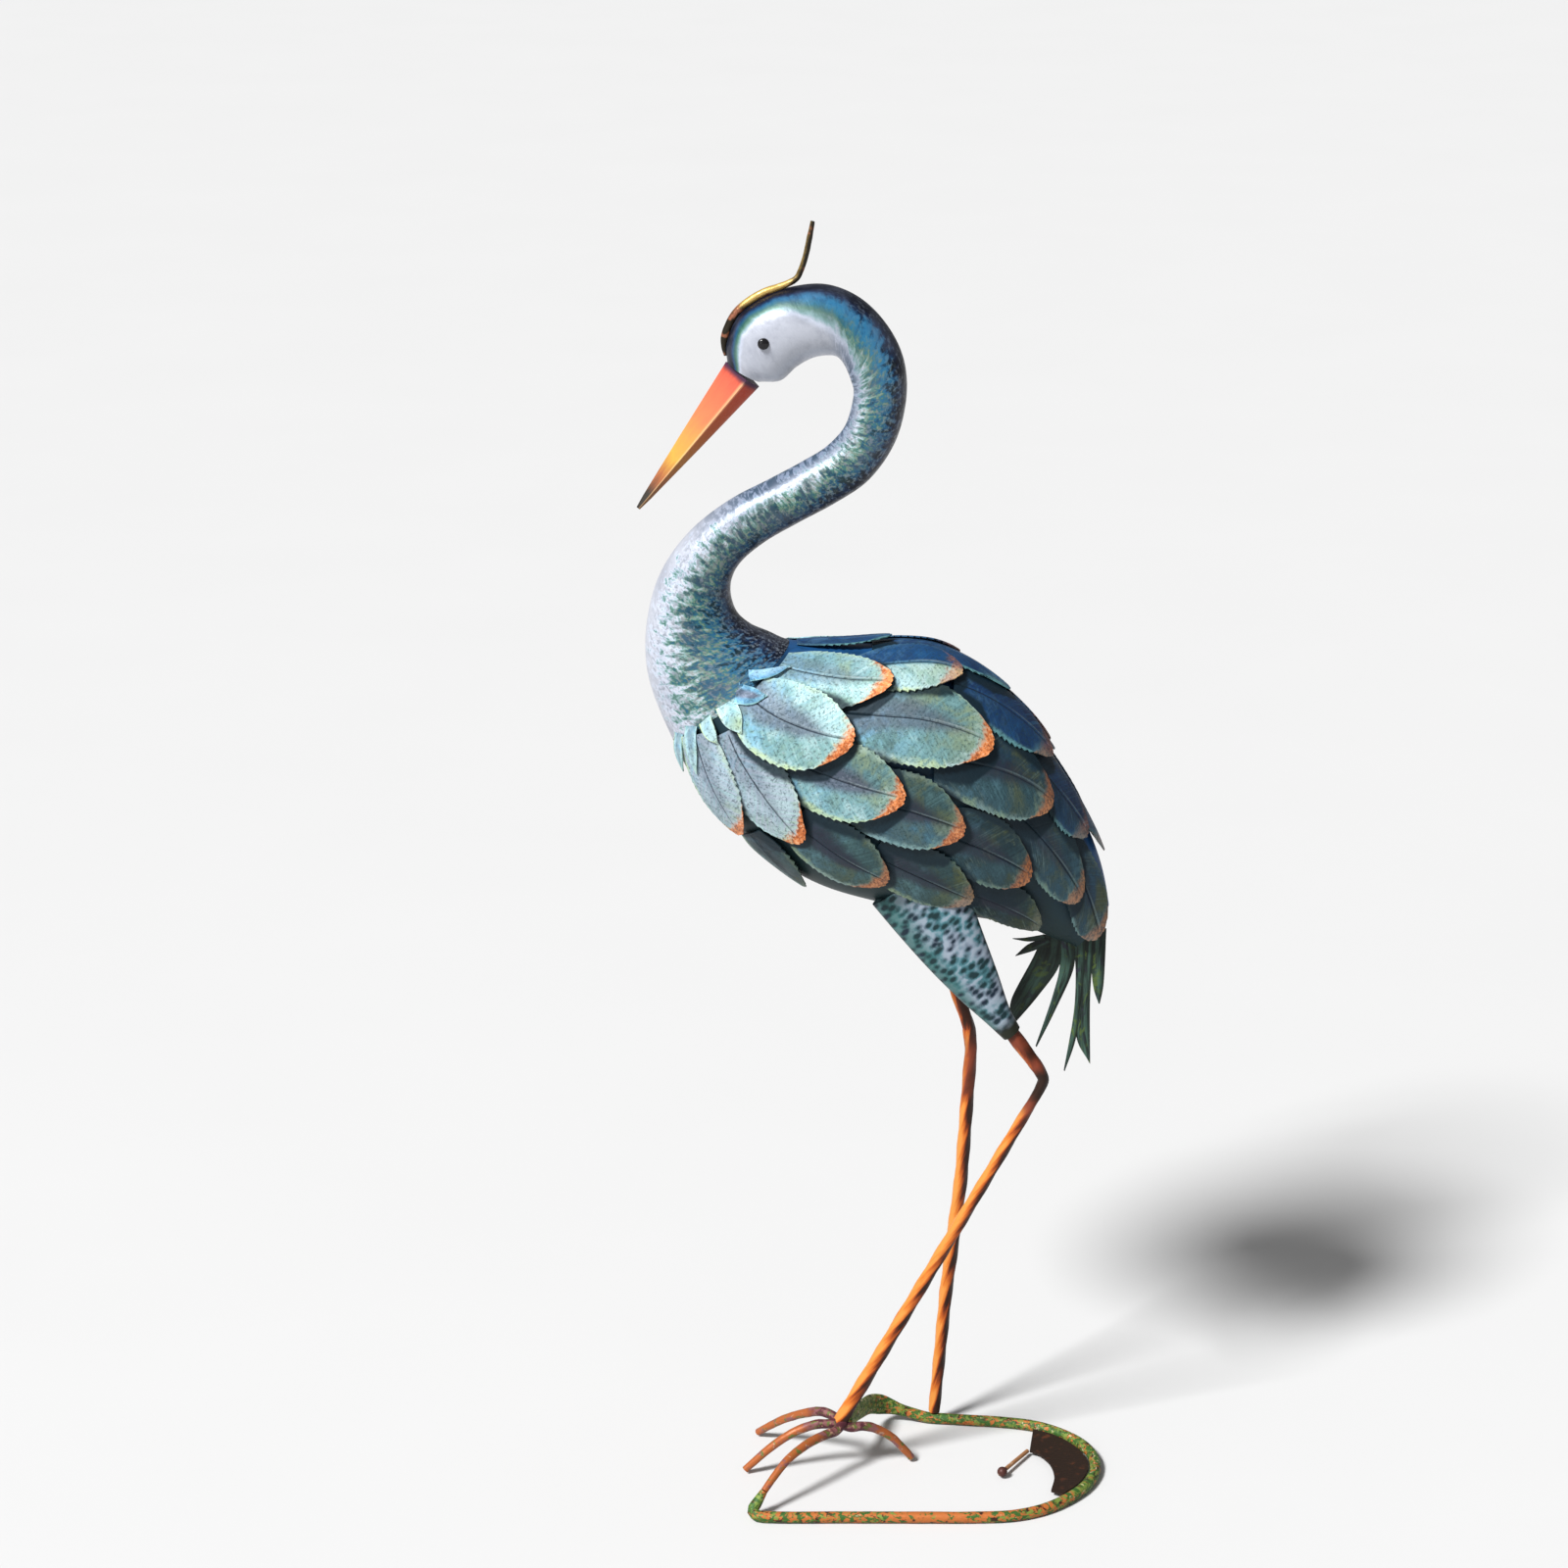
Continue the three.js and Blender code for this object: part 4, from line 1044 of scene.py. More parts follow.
def leg_paint():
    p = Paint("leg twisted bar paint", metallic=0.1, roughness=0.45)
    place = p.vector("place")
    grain = p.noise(p.stretch(place, (22, 190, 190)), 1.0, 3.0, 0.6)
    cloud = p.noise(place, 55.0, 3.0, 0.6, 0.4)
    # painted light and shade: golden where the bar faces the light at the front left, dark red-brown
    # where it faces away or the body shades it
    p.colour = p.ramp(
        p.stray(p.stray(p.value("away"), grain, 1.9), cloud, 0.4),
        [
            (0.0, (0.6, 0.23, 0.045)),
            (0.24, (0.54, 0.15, 0.02)),
            (0.48, (0.38, 0.075, 0.01)),
            (0.68, (0.12, 0.02, 0.005)),
            (0.88, (0.03, 0.008, 0.003)),
        ],
    )
    burnt = p.stray(p.value("knee"), cloud, 0.5)
    purple = p.mix(p.scale(burnt, 0.5, 0.95), (0.19, 0.04, 0.018), (0.02, 0.008, 0.004))
    p.lay(p.scale(burnt, 0.1, 0.6), purple)
    return p.finish(grain, 0.0003)


def tail_paint():
    p = Paint("tail blade paint", metallic=0.15, roughness=0.5)
    place = p.vector("place")
    streak = p.noise(p.stretch(place, (30, 330, 330)), 1.0, 3.0, 0.6)
    patch = p.noise(place, 110.0, 3.0, 0.6, 0.5)
    p.colour = p.mix(p.scale(streak, 0.36, 0.64), (0.007, 0.012, 0.01), (0.04, 0.085, 0.065))
    p.lay(p.scale(patch, 0.55, 0.68, 0.0, 0.7), (0.07, 0.11, 0.02))
    p.lay(p.scale(patch, 0.42, 0.3, 0.0, 0.8), (0.02, 0.018, 0.035))
    # painted shade on the blades' right edges and under the thigh
    p.lay(p.value("side"), (0.004, 0.007, 0.005))
    return p.finish(streak, 0.0004)


def eye_gloss():
    p = Paint("eye black gloss", metallic=0.0, roughness=0.1, coat=0.15)
    depth = p.noise(p.where(), 300.0, 2.0)
    p.colour = p.mix(depth, (0.004, 0.004, 0.005), (0.012, 0.011, 0.012))
    return p.finish(depth, 0.00002)


def floor_paint():
    p = Paint("pale studio floor", metallic=0.0, roughness=0.8)
    cloud = p.noise(p.where(), 3.0, 2.0)
    p.colour = p.mix(cloud, (0.6, 0.6, 0.6), (0.615, 0.615, 0.615))
    return p.finish(cloud, 0.0001)


# Pieces


def shaded(along, turn, height, along_scale, turn_scale, own):
    """How deep places of the shell lie in the shade of the feathers over them, from 0 to 1."""
    deepest = np.zeros(np.shape(along))
    # the light comes from the front and above, so cover is looked for nearer the hem and the ridge
    look_along = along - SHADE_AHEAD / along_scale
    look_turn = np.abs(turn) - SHADE_BELOW / turn_scale
    for name, root, tip, width, extra, _ in SIDE_FEATHERS + RIDGE_FEATHERS:
        if name == own:
            continue
        step_along, step_turn = (tip[0] - root[0]) * along_scale, (tip[1] - root[1]) * turn_scale
        reach = np.hypot(step_along, step_turn)
        run_along, run_turn = step_along / reach, step_turn / reach
        off_along, off_turn = (look_along - root[0]) * along_scale, (look_turn - root[1]) * turn_scale
        travel = off_along * run_along + off_turn * run_turn
        out = off_turn * run_along - off_along * run_turn
        half = width / 2 * np.interp(travel / reach, LEAF_AT, LEAF_HALF)
        end = reach * (1 - TIP_ROUNDING * np.clip(out / half, -1, 1) ** 2) - travel
        inside = np.minimum(half - np.abs(out), end)
        over = FEATHER_LIFT + extra + FEATHER_RISE * np.maximum(look_along - root[0], 0)
        deep = held((inside + 5) / 7) * (over > height + 0.2) * (travel > 0)
        deepest = np.maximum(deepest, deep)
    return deepest * deepest * (3 - 2 * deepest)


def leaf_teeth(r, side, reach, width, seed):
    """How far the teeth cut into a feather's long edges, and into its end."""
    s = sizes()
    phase = r * reach / s["tooth_step"] + 0.37 * seed
    near_edge = held((np.abs(side) - 0.72) / 0.28) ** 2
    grown = held((r - 0.28) / 0.2) * (1 - held((r - 0.97) / 0.03))
    cut = s["tooth_depth"] * (1 - (phase % 1.0) ** 1.6) * near_edge * grown
    phase = np.abs(width / 2 * LEAF_HALF[-1] * side) / s["tooth_step"] * 1.25 + 0.5
    back = s["tooth_depth"] * 0.9 * (phase % 1.0) ** 1.5 * held((r - 0.93) / 0.07) ** 2
    return cut, back


def leaf_relief(r, side, travel, out):
    """The crease, the ridge beside it and the branches at 45 degrees of a feather, each 0 to 1."""
    fade = held((1 - r) / 0.12) * held(r / 0.05)
    crease = np.exp(-((out / 0.6) ** 2)) * fade
    ridge = np.exp(-(((out + 1.4) / 0.9) ** 2)) * fade
    branch_phase = (travel - np.abs(out)) / BRANCH_STEP
    branch = held(1 - np.abs((branch_phase % 1.0) - 0.5) * 9)
    branch = branch * held((np.abs(out) - 1.5) / 3) * held((1 - np.abs(side)) / 0.35) * fade
    return crease, ridge, branch


def add_feather(build, leaf, hand, rows, columns, seed, tongue=False):
    """Adds one feather, or one tongue of the hem, to a piece being built."""
    name, root, tip, width, extra, (upper, lower, blue, blue_low, bloom, orange) = leaf
    s = sizes()
    r = np.linspace(0, 1, rows)[:, None]
    side = np.linspace(-1, 1, columns)[None, :]
    side = 0.3 * side + 0.7 * side**3
    half_table = np.stack([LEAF_AT, TONGUE_HALF if tongue else LEAF_HALF], -1)
    half = read(smooth(half_table, np.linspace(0, len(LEAF_AT) - 1, 200)), r)
    share = r * (1 - TIP_ROUNDING * side**2)
    middle_along = root[0] + (tip[0] - root[0]) * share
    middle_turn = root[1] + (tip[1] - root[1]) * share
    # mm of shell for each mm along the middle line, and for each degree
    here = shell_point(middle_along, middle_turn)
    along_scale = np.linalg.norm(shell_point(middle_along + 1, middle_turn) - here, axis=-1)
    turn_scale = np.linalg.norm(shell_point(middle_along, middle_turn + 1) - here, axis=-1)
    run_along = (tip[0] - root[0]) * along_scale
    run_turn = (tip[1] - root[1]) * turn_scale
    length = np.hypot(run_along, run_turn)
    run_along, run_turn = run_along / length, run_turn / length
    reach = float(length.mean())
    travel = share * reach
    out = width / 2 * half * side
    back = np.zeros_like(out)
    if not tongue:
        cut, back = leaf_teeth(r, side, reach, width, seed)
        out = out - np.sign(side) * cut
    along = middle_along - (run_turn * out + run_along * back) / along_scale
    turn = middle_turn + (run_along * out - run_turn * back) / turn_scale
    off_root = np.maximum(along - root[0], 0)
    bend = 0.45 * ripple(np.stack([along, turn, turn * 0], -1), 70, seed + 3) * r
    if tongue:
        crease = ridge = branch = shade = np.zeros_like(out)
        most, within = TONGUE_CLIMB
        height = TONGUE_LIFT + extra + most * (1 - np.exp(-off_root / within)) + bend
    else:
        crease, ridge, branch = leaf_relief(r, side, travel, out)
        relief = s["vein_depth"] * (0.45 * ridge - crease) - 0.22 * branch
        height = FEATHER_LIFT + extra + FEATHER_RISE * off_root + relief + bend
        shade = shaded(along, turn, height, along_scale, turn_scale, name)
    copy = seed * COPY_APART + hand * HAND_APART
    below = held(0.5 + out / 5)
    spread = width * 0.4 * held(1.05 - r) ** 0.8 * np.where(side > 0, 0.75, 1.15)
    corner = 0.14 * width if orange > 0 else -0.2 * width
    build.sheet(
        shell_point(along, turn, height, hand),
        shell_point(along, turn, height + s["feather_sheet"], hand),
        place=places(travel, out, copy),
        barb=places(travel - np.abs(out), travel + out, copy),
        run=r,
        low=side,
        edge=np.minimum(1 - np.abs(side), (1 - r) * 1.2),
        # the vein takes painted shade in its crease and a painted highlight on the ridge beside it
        vein=crease - 0.9 * ridge,
        branch=branch,
        fan=held(1 - np.abs(out) / (spread + 0.5)) * held((0.95 - r) / 0.4),
        from_tip=np.hypot((1 - r) * reach * 1.45, (out - corner) * 0.72) / 20,
        dark=upper + (lower - upper) * below,
        blue=blue + (blue_low - blue) * below,
        bloom=bloom,
        orange=abs(orange),
        shade=shade,
        pearl=orange < 0,
    )


def build_feathers():
    paint = feather_paint()
    for number, leaf in enumerate(RIDGE_FEATHERS):
        build = Build()
        add_feather(build, leaf, 1, rows=80, columns=27, seed=number + 31)
        build.finish(f"feather_{leaf[0]}_sheet", paint, "feather_paint", [f"feather_{leaf[0]}"])
    for number, leaf in enumerate(SIDE_FEATHERS):
        for hand, where in ((1, "near"), (-1, "far")):
            build = Build()
            add_feather(build, leaf, hand, rows=84, columns=27, seed=number)
            node = f"feather_{leaf[0]}_{where}"
            build.finish(f"{node}_sheet", paint, "feather_paint", [node])


def build_hem():
    paint = bpy.data.materials.get(FEATHER_FINISH) or feather_paint()
    build = Build()
    for number, leaf in enumerate(HEM_TONGUES):
        for hand in (1, -1):
            add_feather(build, leaf, hand, rows=34, columns=15, seed=number + 50, tongue=True)
    build.finish("neck_hem_tongues", paint, "neck_paint", [])


def shell_grid(first, last, rows, sides):
    """Sections, turns, rings and turns from the ridge to either side of a stretch of the shell."""
    section = np.linspace(first, last, rows)[:, None]
    turn = np.linspace(0, 360, sides, endpoint=False)[None, :]
    return section, section_point(section, turn), np.minimum(turn, 360 - turn)


def build_neck():
    section, rings, turn = shell_grid(0, HEM_SECTION, rows=300, sides=80)
    radius = smooth(SECTIONS, section[:, 0])[:, 3:5].mean(1)[:, None]
    edge_section, edge_turn, steepness = np.array(WHITE_EDGE).T
    front = turn / 180 - np.interp(section, edge_section, edge_turn)
    front = front * np.interp(section, edge_section, steepness)
    tube_piece(
        "neck_and_head_shell",
        "neck_and_head",
        neck_paint(),
        "neck_paint",
        rings,
        place=places(length_at(section), np.radians(turn) * radius, (rings[..., 1] - MIDDLE_Y) * 0.6),
        front=front,
        mottled=read(MOTTLING, section),
        azure=read(AZURE, section),
        inner=read(INNER_BOW, section) * held((front + 0.08) / 0.25),
    )


def build_body():
    section, rings, turn = shell_grid(section_at(0.5), RUMP_SECTION, rows=150, sides=96)
    tube_piece(
        "body_shell",
        "body",
        body_paint(),
        "body_paint",
        rings,
        place=places(length_at(section), turn, rings[..., 1] - MIDDLE_Y),
        high=1 - turn / 180,
    )


def build_beak():
    root, end = np.array(BEAK_ROOT), np.array(BEAK_END)
    length = np.linalg.norm(end - root)
    run = (end - root) / length
    share = np.linspace(0, 1, 60)[:, None]
    size = read(BEAK_SIZES, share)
    # from the top ridge over one side edge, the bottom ridge and the other side edge, with the
    # faces a little round and the corners a little worn
    corners = np.array([(1, 0), (BEAK_CREASE, 1), (-1, 0), (BEAK_CREASE, -1)], float)
    steps = 8
    t = np.arange(steps)[:, None] / steps
    swell = (1 + 0.05 * np.sin(t * math.pi)) * np.where(t == 0, 0.985, 1)
    outline = np.vstack([(a + (b - a) * t) * swell for a, b in zip(corners, np.roll(corners, -1, 0))])
    point = np.arange(len(outline))
    below = (point > steps) & (point < 3 * steps)
    on_edge = (point == steps) | (point == 3 * steps)
    rise = outline[:, 0] * BEAK_HALF_DEPTH * size
    out = outline[:, 1] * BEAK_HALF_WIDTH * size
    x = root[0] + run[0] * length * share + run[1] * rise
    z = root[1] + run[1] * length * share - run[0] * rise
    tube_piece(
        "beak_horn",
        "beak",
        beak_paint(),
        "beak_paint",
        np.stack([x, MIDDLE_Y + out, z], -1),
        sharp=25,
        place=places(length * share, rise, out),
        run=share,
        low=below,
        # the side edges, which take a painted highlight
        crease=0.9 * on_edge,
    )


def build_crest():
    c, s = colours(), sizes()
    # the rod rises off the crown from its front end, which lies almost in it
    lift = np.minimum(np.linspace(0.7, 7.5, 9), s["crest_rod"] / 2 - 0.3)
    over = section_point(np.linspace(*CREST_OVER_HEAD, 9), 0.0, lift)
    over[:, 1] -= MIDDLE_Y
    path = finer([*over, *CREST_STALK], 1.6)
    path[-1, 2] = CREST_END
    gone = travelled(path)
    rings = bar_rings(path, round_corners(s["crest_rod"], 16), read(CREST_SIZES, gone))
    rings += 0.12 * ripple(rings, 9, 5)[..., None]
    around = np.linspace(0, 2 * math.pi, 16, endpoint=False)
    # painted light and shade round the rod: lighter on one side, darker on the other
    shade = read(CREST_SHADE, gone)[:, None] - 0.3 * np.sin(around)
    dark, worn = (0.02, 0.016, 0.01), [((0.3, 0.11, 0.06), 0.56, 0.7)]
    paint = rod_paint("crest worn gold", c["gold"], dark, worn, metallic=0.4, roughness=0.38)
    place = bar_places(rings, gone)
    tube_piece("crest_bent_rod", "crest", paint, "crest_paint", rings, place=place, shade=shade)


def build_eyes():
    radius = sizes()["eye_bead"] / 2
    half_width = float(smooth(SECTIONS, EYE_SECTION)[4])
    turn = np.linspace(0, 2 * math.pi, 32, endpoint=False)
    share, height = np.array(EYE_PROFILE).T[..., None]
    x = EYE_PLACE[0] + radius * share * np.cos(turn)
    z = EYE_PLACE[1] + radius * share * np.sin(turn)
    for hand, where in ((-1, "near"), (1, "far")):
        y = MIDDLE_Y + hand * (half_width + GAP + height)
        rings = np.stack(np.broadcast_arrays(x, y, z), -1)
        tube_piece(f"eye_bead_{where}", f"eye_{where}", eye_gloss(), "eye_bead", rings)


def build_thighs():
    paint = thigh_paint()
    turn = np.linspace(0, 2 * math.pi, 40, endpoint=False)
    for name, (table, lean) in THIGHS.items():
        rows = smooth(table, np.linspace(0, len(table) - 1, 90))
        x, y, z, half, wide = rows.T[..., None]
        gone = travelled(rows[:, :3])[:, None]
        run = gone / gone[-1]
        reach = half * np.cos(turn)
        out = y + wide * np.sin(turn)
        x = x + math.cos(math.radians(lean)) * reach
        z = z + math.sin(math.radians(lean)) * reach
        # painted shade under the feathers near the thigh's top, and along its front and back edges
        shade_under_feathers = 0.1 * held((0.62 - run) / 0.4) * held(0.4 - np.cos(turn))
        shade_along_edges = held((np.abs(np.cos(turn)) - 0.93) / 0.07) ** 2
        tube_piece(
            f"{name}_cone",
            name,
            paint,
            "thigh_paint",
            np.stack([x, out + MIDDLE_Y, z], -1),
            place=places(gone, reach, out),
            deep=shade_under_feathers + 0.1 * held((run - 0.5) / 0.3) - 0.02,
            rim=np.maximum(shade_along_edges * 0.7, held((run - 0.9) / 0.06)),
            left=0.8 * held((-0.25 - np.cos(turn)) / 0.5),
        )


def facing_away(rings):
    """How far each point of a twisted bar looks away from the light at the front left, 0 to 1."""
    spokes = rings - rings.mean(1, keepdims=True)
    spokes /= np.linalg.norm(spokes, axis=-1, keepdims=True)
    edges = spokes[:, [14, 2, 6, 10]]
    faces = edges + np.roll(edges, -1, 1)
    faces /= np.linalg.norm(faces, axis=-1, keepdims=True)
    # a point belongs to the face before it and the one after it, which are one but at an edge
    point = np.arange(rings.shape[1])
    flat = (faces[:, (point + 1) // 4 % 4, 0] + faces[:, (point + 2) // 4 % 4, 0]) / 2
    return 0.46 + 0.4 * spokes[..., 0] + 0.34 * flat


def build_legs():
    half = sizes()["leg_bar"] / 2
    corners = [(half * share, edge + off) for edge in (45, 135, 225, 315) for share, off in BAR_CORNER]
    own_turn = np.radians([degrees for _, degrees in corners])
    paint = leg_paint()
    for name, leg in LEGS.items():
        bend, burnt_length, burnt, dark_root, shaded_to = leg["paint"]
        path = straight(leg["path"], 1.8)
        gone = travelled(path)
        rings = bar_rings(path, corners, read(leg["sizes"], gone), twist=360 * gone / LEG_TURN)
        gone = gone[:, None]
        long = np.where(gone > bend, 1.6 * burnt_length, burnt_length)
        knee = burnt * np.exp(-(((gone - bend) / long) ** 2))
        tube_piece(
            f"{name}_bar",
            name,
            paint,
            "leg_paint",
            rings,
            place=places(gone, half * np.cos(own_turn), half * np.sin(own_turn)),
            away=facing_away(rings) + 0.4 * held((shaded_to - gone) / 40),
            knee=np.maximum(knee, dark_root * held((28 - gone) / 24)),
        )


def build_toes():
    s = sizes()
    worn = [
        ((0.2, 0.08, 0.08), 0.52, 0.66),
        ((0.1, 0.13, 0.03), 0.58, 0.68),
        ((0.4, 0.24, 0.15), 0.62, 0.72),
    ]
    rusty, dark = (0.34, 0.095, 0.025), (0.08, 0.022, 0.03)
    paint = rod_paint("toe worn paint", rusty, dark, worn, metallic=0.12, roughness=0.46, coarse=120.0)
    thinning = 1 - s["toe_tip"] / s["toe_root"]
    for name, path in TOES.items():
        path = finer(path, TOE_STEP)
        gone = travelled(path)
        size = 1 - thinning * np.minimum(gone / (TOE_STEP * len(path)), 1) ** 1.5
        rings = bar_rings(path, round_corners(s["toe_root"], 18), size)
        rings += 0.15 * ripple(rings, 14, 11)[..., None]
        shade = read(TOE_SHADE, gone)[:, None]
        place = bar_places(rings, gone)
        tube_piece(f"{name}_rod", name, paint, "toe_paint", rings, place=place, shade=shade)


def build_base():
    c, rod = colours(), sizes()["base_rod"]
    path = finer(BASE_PATH, BASE_STEP)
    path[:, 2] = np.maximum(path[:, 2], ROD_HEIGHT)
    gone = travelled(path)
    left = BASE_STEP * (len(path) - 1) - gone
    flat = held((FLAT_START - left) / (FLAT_START - FLAT_END))
    flat = flat * flat * (3 - 2 * flat)
    start = np.interp(gone, [0, 12], [0.66, 1])
    wide = start * (1 + (FLAT_THICKNESS / rod - 1) * flat)
    tall = start * (1 + (FLAT_WIDTH / rod - 1) * flat)
    rings = bar_rings(path, round_corners(rod - BASE_THINNER, 20), wide, tall)
    rings[..., :2] += 0.1 * ripple(rings, 22, 8)[..., None]
    rings[..., 2] = np.maximum(rings[..., 2], 0.0)
    patina = [
        ((0.035, 0.014, 0.008), 0.53, 0.6),
        (c["moss"], 0.47, 0.56),
        ((0.16, 0.22, 0.04), 0.55, 0.64),
        ((0.5, 0.42, 0.26), 0.66, 0.74),
    ]
    dark = (0.05, 0.016, 0.008)
    looks = {"metallic": 0.1, "roughness": 0.55, "coarse": 150.0, "drift": "mossy"}
    paint = rod_paint("rail mottled patina", c["rust"], dark, patina, **looks)
    tube_piece(
        "base_bent_rod",
        "base_loop",
        paint,
        "rail_paint",
        rings,
        place=bar_places(rings, gone),
        shade=0.3,
        mossy=read(MOSSY, gone)[:, None],
    )


def build_plate():
    rows = 60
    outer = smooth(PLATE_OUTER, np.linspace(0, len(PLATE_OUTER) - 1, rows))
    inner = smooth(PLATE_INNER, np.linspace(0, len(PLATE_INNER) - 1, rows))[::-1]
    share = np.linspace(0, 1, 14)[None, :, None]
    flat = outer[:, None] * (1 - share) + inner[:, None] * share
    x, y = flat[..., 0], flat[..., 1]
    dish = PLATE_DISH * np.sin(share[..., 0] * math.pi) * np.sin(np.linspace(0, math.pi, rows))[:, None]
    dent = 0.12 * ripple(np.stack([x, y, 0 * x], -1), 30, 4)
    bottom, top = PLATE_HEIGHTS
    under = np.stack([x, y + MIDDLE_Y, bottom - dish * 0.3], -1)
    over = np.stack([x, y + MIDDLE_Y, top - dish + dent], -1)
    build = Build()
    build.sheet(under, over, place=places(x, y, 0), shade=0.5)
    # dark brown paint, made near black as painted shade
    brown, dark, worn = (0.024, 0.011, 0.006), (0.01, 0.006, 0.004), [((0.07, 0.022, 0.009), 0.56, 0.74)]
    paint = rod_paint("plate dark paint", brown, dark, worn, metallic=0.05, roughness=0.6)
    build.finish("crescent_plate_sheet", paint, "plate_paint", ["crescent_plate"])


def build_pin():
    ball, end = np.array(PIN_PATH, float)
    length = np.linalg.norm(end - ball)
    over_ball = np.linspace(-PIN_BALL, PIN_BALL, 18)
    along = np.concatenate([over_ball, np.linspace(PIN_BALL + 0.3, length, 22)])
    round_part = np.sqrt(np.maximum(PIN_BALL**2 - along**2, 0.01))
    neck = math.sqrt(PIN_BALL**2 - PIN_ROD**2)
    radius = np.where(along < neck, round_part, PIN_ROD)
    path = ball + (end - ball) * (along / length)[:, None]
    rings = bar_rings(path, round_corners(2.0, 20), radius)
    shade = np.where(along < PIN_BALL + 0.4, 0.95, 0.2)[:, None]
    brown, dark, worn = (0.34, 0.16, 0.07), (0.07, 0.025, 0.02), [((0.44, 0.26, 0.15), 0.58, 0.7)]
    paint = rod_paint("pin worn paint", brown, dark, worn, metallic=0.2)
    place = bar_places(rings, travelled(path))
    tube_piece("ball_end_pin", "ball_pin", paint, "pin_paint", rings, place=place, shade=shade)


def build_tail():
    build = Build()
    share = np.linspace(0, 1, 60)
    across = np.linspace(0, 1, 11)[None, :, None]
    for number, edges in enumerate(TAIL_BLADES):
        left, right = (smooth(edge, share * (len(edge) - 1))[:, None] for edge in edges)
        flat = left + (right - left) * across
        x, z = flat[..., 0], flat[..., 1]
        wide = np.linalg.norm(right - left, axis=-1)
        gone = travelled((left + right)[:, 0] / 2)[:, None]
        side = 2 * across[..., 0] - 1
        bend = (TAIL_BEND["middle"] - x) * np.maximum(TAIL_BEND["top"] - z, 0) / TAIL_BEND["reach"]
        fold = 0.09 * wide * (1 - np.abs(side)) * np.sin(share[:, None] * math.pi)
        y = MIDDLE_Y + bend - fold + FIRST_BLADE + BLADE_APART * number
        # painted shade on each blade's right edge, and over the whole of the first blades, which lie in
        # the thigh's shade
        dark = 0.8 * held((side - 0.35) / 0.3)
        if number < DARK_BLADES:
            dark = np.maximum(dark, 0.55 - 0.25 * side)
        build.sheet(
            np.stack([x, y + BLADE_HALF_SHEET, z], -1),
            np.stack([x, y - BLADE_HALF_SHEET, z], -1),
            place=places(gone, wide / 2 * side, number * 130),
            side=dark,
        )
    build.finish("tail_blade_fan", tail_paint(), "tail_paint", ["tail_fan"])


# Stage


def add_object(name, data, place=(0, 0, 0)):
    made = bpy.data.objects.new(name, data)
    made.location = place
    bpy.context.scene.collection.objects.link(made)
    return made


def add_light(name, kind, place, energy, **settings):
    lamp = bpy.data.lights.new(name, kind)
    lamp.energy = energy
    for key, value in settings.items():
        setattr(lamp, key, value)
    aim = LIGHTS_AIM - Vector(place)
    add_object(name, lamp, place).rotation_euler = aim.to_track_quat("-Z", "Y").to_euler()


def build_floor():
    floor = bpy.data.meshes.new("studio_floor")
    count = 24
    line = np.linspace(-FLOOR_HALF, FLOOR_HALF, count)
    points = [(x, y, 0.0) for x in line for y in line]
    corners = [i * count + j for i in range(count - 1) for j in range(count - 1)]
    floor.from_pydata(points, [], [(a, a + count, a + count + 1, a + 1) for a in corners])
    floor.materials.append(floor_paint())
    add_object("studio_floor", floor)


def build_stage():
    scene = bpy.context.scene
    build_floor()
    world = bpy.data.worlds.new("soft studio")
    world.use_nodes = True
    world.node_tree.nodes["Background"].inputs["Color"].default_value = (1, 1, 1, 1)
    world.node_tree.nodes["Background"].inputs["Strength"].default_value = 0.24
    scene.world = world
    scene.view_settings.view_transform = "Standard"
    add_light("soft sun", "SUN", (-1.5, -1.45, 2.8), 5.4, angle=0.22)
    add_light("soft fill", "AREA", (-1.6, -2.6, 1.6), 15, size=2.0)
    camera = bpy.data.cameras.new("photo view")
    camera.lens = CAMERA_LENS
    camera.sensor_width = camera.sensor_height = CAMERA_SENSOR
    scene.camera = add_object("photo view", camera, CAMERA_PLACE)
    scene.camera.rotation_euler = (math.radians(CAMERA_TILT), 0, 0)


# Add-on


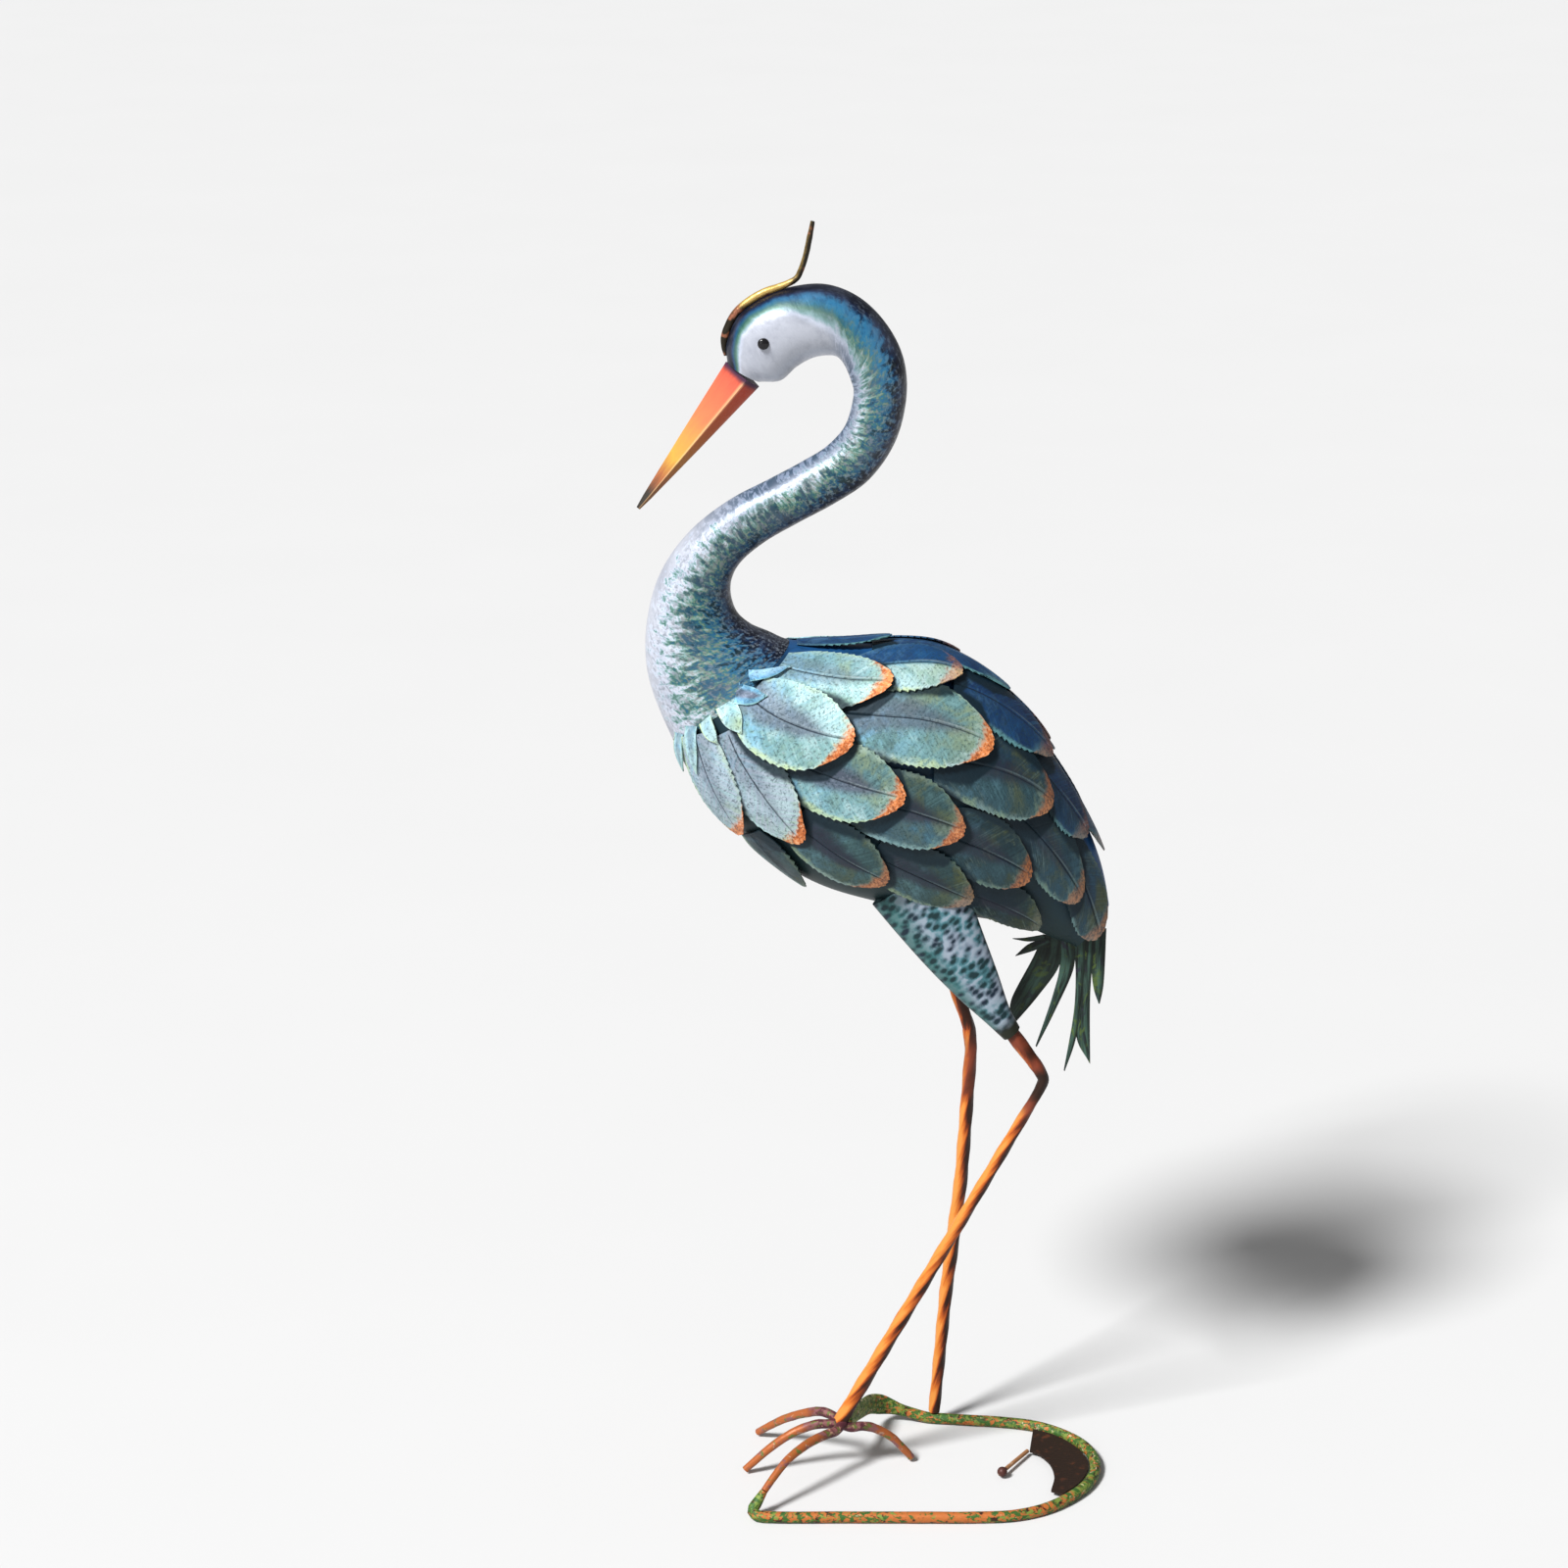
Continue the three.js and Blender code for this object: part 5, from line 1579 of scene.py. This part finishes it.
def operator(name, label, words, *builders):
    """An operator class that runs these builders."""

    def execute(self, context):
        for builder in builders:
            builder()
        return {"FINISHED"}

    about = {"bl_idname": f"crane.{name}", "bl_label": label, "__doc__": words, "execute": execute}
    return type(f"CRANE_OT_{name}", (bpy.types.Operator,), about)


OPERATORS = [
    operator("feathers", "Feathers", "Builds the overlapping toothed feathers", build_feathers),
    operator("neck", "Neck and head", "Builds the painted neck and its cut hem", build_neck, build_hem),
    operator("body", "Body", "Builds the shell under the feathers", build_body),
    operator("beak", "Beak", "Builds the folded beak", build_beak),
    operator("crest", "Crest", "Builds the bent crest rod", build_crest),
    operator("eyes", "Eyes", "Builds the two eye beads", build_eyes),
    operator("thighs", "Thighs", "Builds the dabbed thigh cones", build_thighs),
    operator("legs", "Legs", "Builds the twisted bar legs", build_legs),
    operator("toes", "Toes", "Builds the four toes", build_toes),
    operator("base", "Base rod", "Builds the bent rod of the base", build_base),
    operator("plate", "Crescent plate", "Builds the crescent plate in the base's bend", build_plate),
    operator("pin", "Ball pin", "Builds the ball-ended pin", build_pin),
    operator("tail", "Tail", "Builds the fan of tail blades", build_tail),
    operator("stage", "Stage", "Sets the pale floor, soft lights and camera", build_stage),
]


class CRANE_PT_pieces(bpy.types.Panel):
    """Lists the crane's sizes, paints and pieces"""

    bl_label = "Metal garden crane"
    bl_space_type = "VIEW_3D"
    bl_region_type = "UI"
    bl_category = "Crane"

    def draw(self, context):
        layout = self.layout
        for group in (context.scene.crane_sizes, context.scene.crane_colours):
            box = layout.box()
            for key in type(group).__annotations__:
                box.prop(group, key)
        for made in OPERATORS:
            layout.operator(made.bl_idname)


CLASSES = [CraneSizes, CraneColours, *OPERATORS, CRANE_PT_pieces]


def register():
    for made in CLASSES:
        bpy.utils.register_class(made)
    bpy.types.Scene.crane_sizes = PointerProperty(type=CraneSizes)
    bpy.types.Scene.crane_colours = PointerProperty(type=CraneColours)


def unregister():
    del bpy.types.Scene.crane_colours
    del bpy.types.Scene.crane_sizes
    for made in reversed(CLASSES):
        bpy.utils.unregister_class(made)


def main():
    register()
    for made in OPERATORS:
        group, name = made.bl_idname.split(".")
        getattr(getattr(bpy.ops, group), name)()


if __name__ == "__main__":
    main()
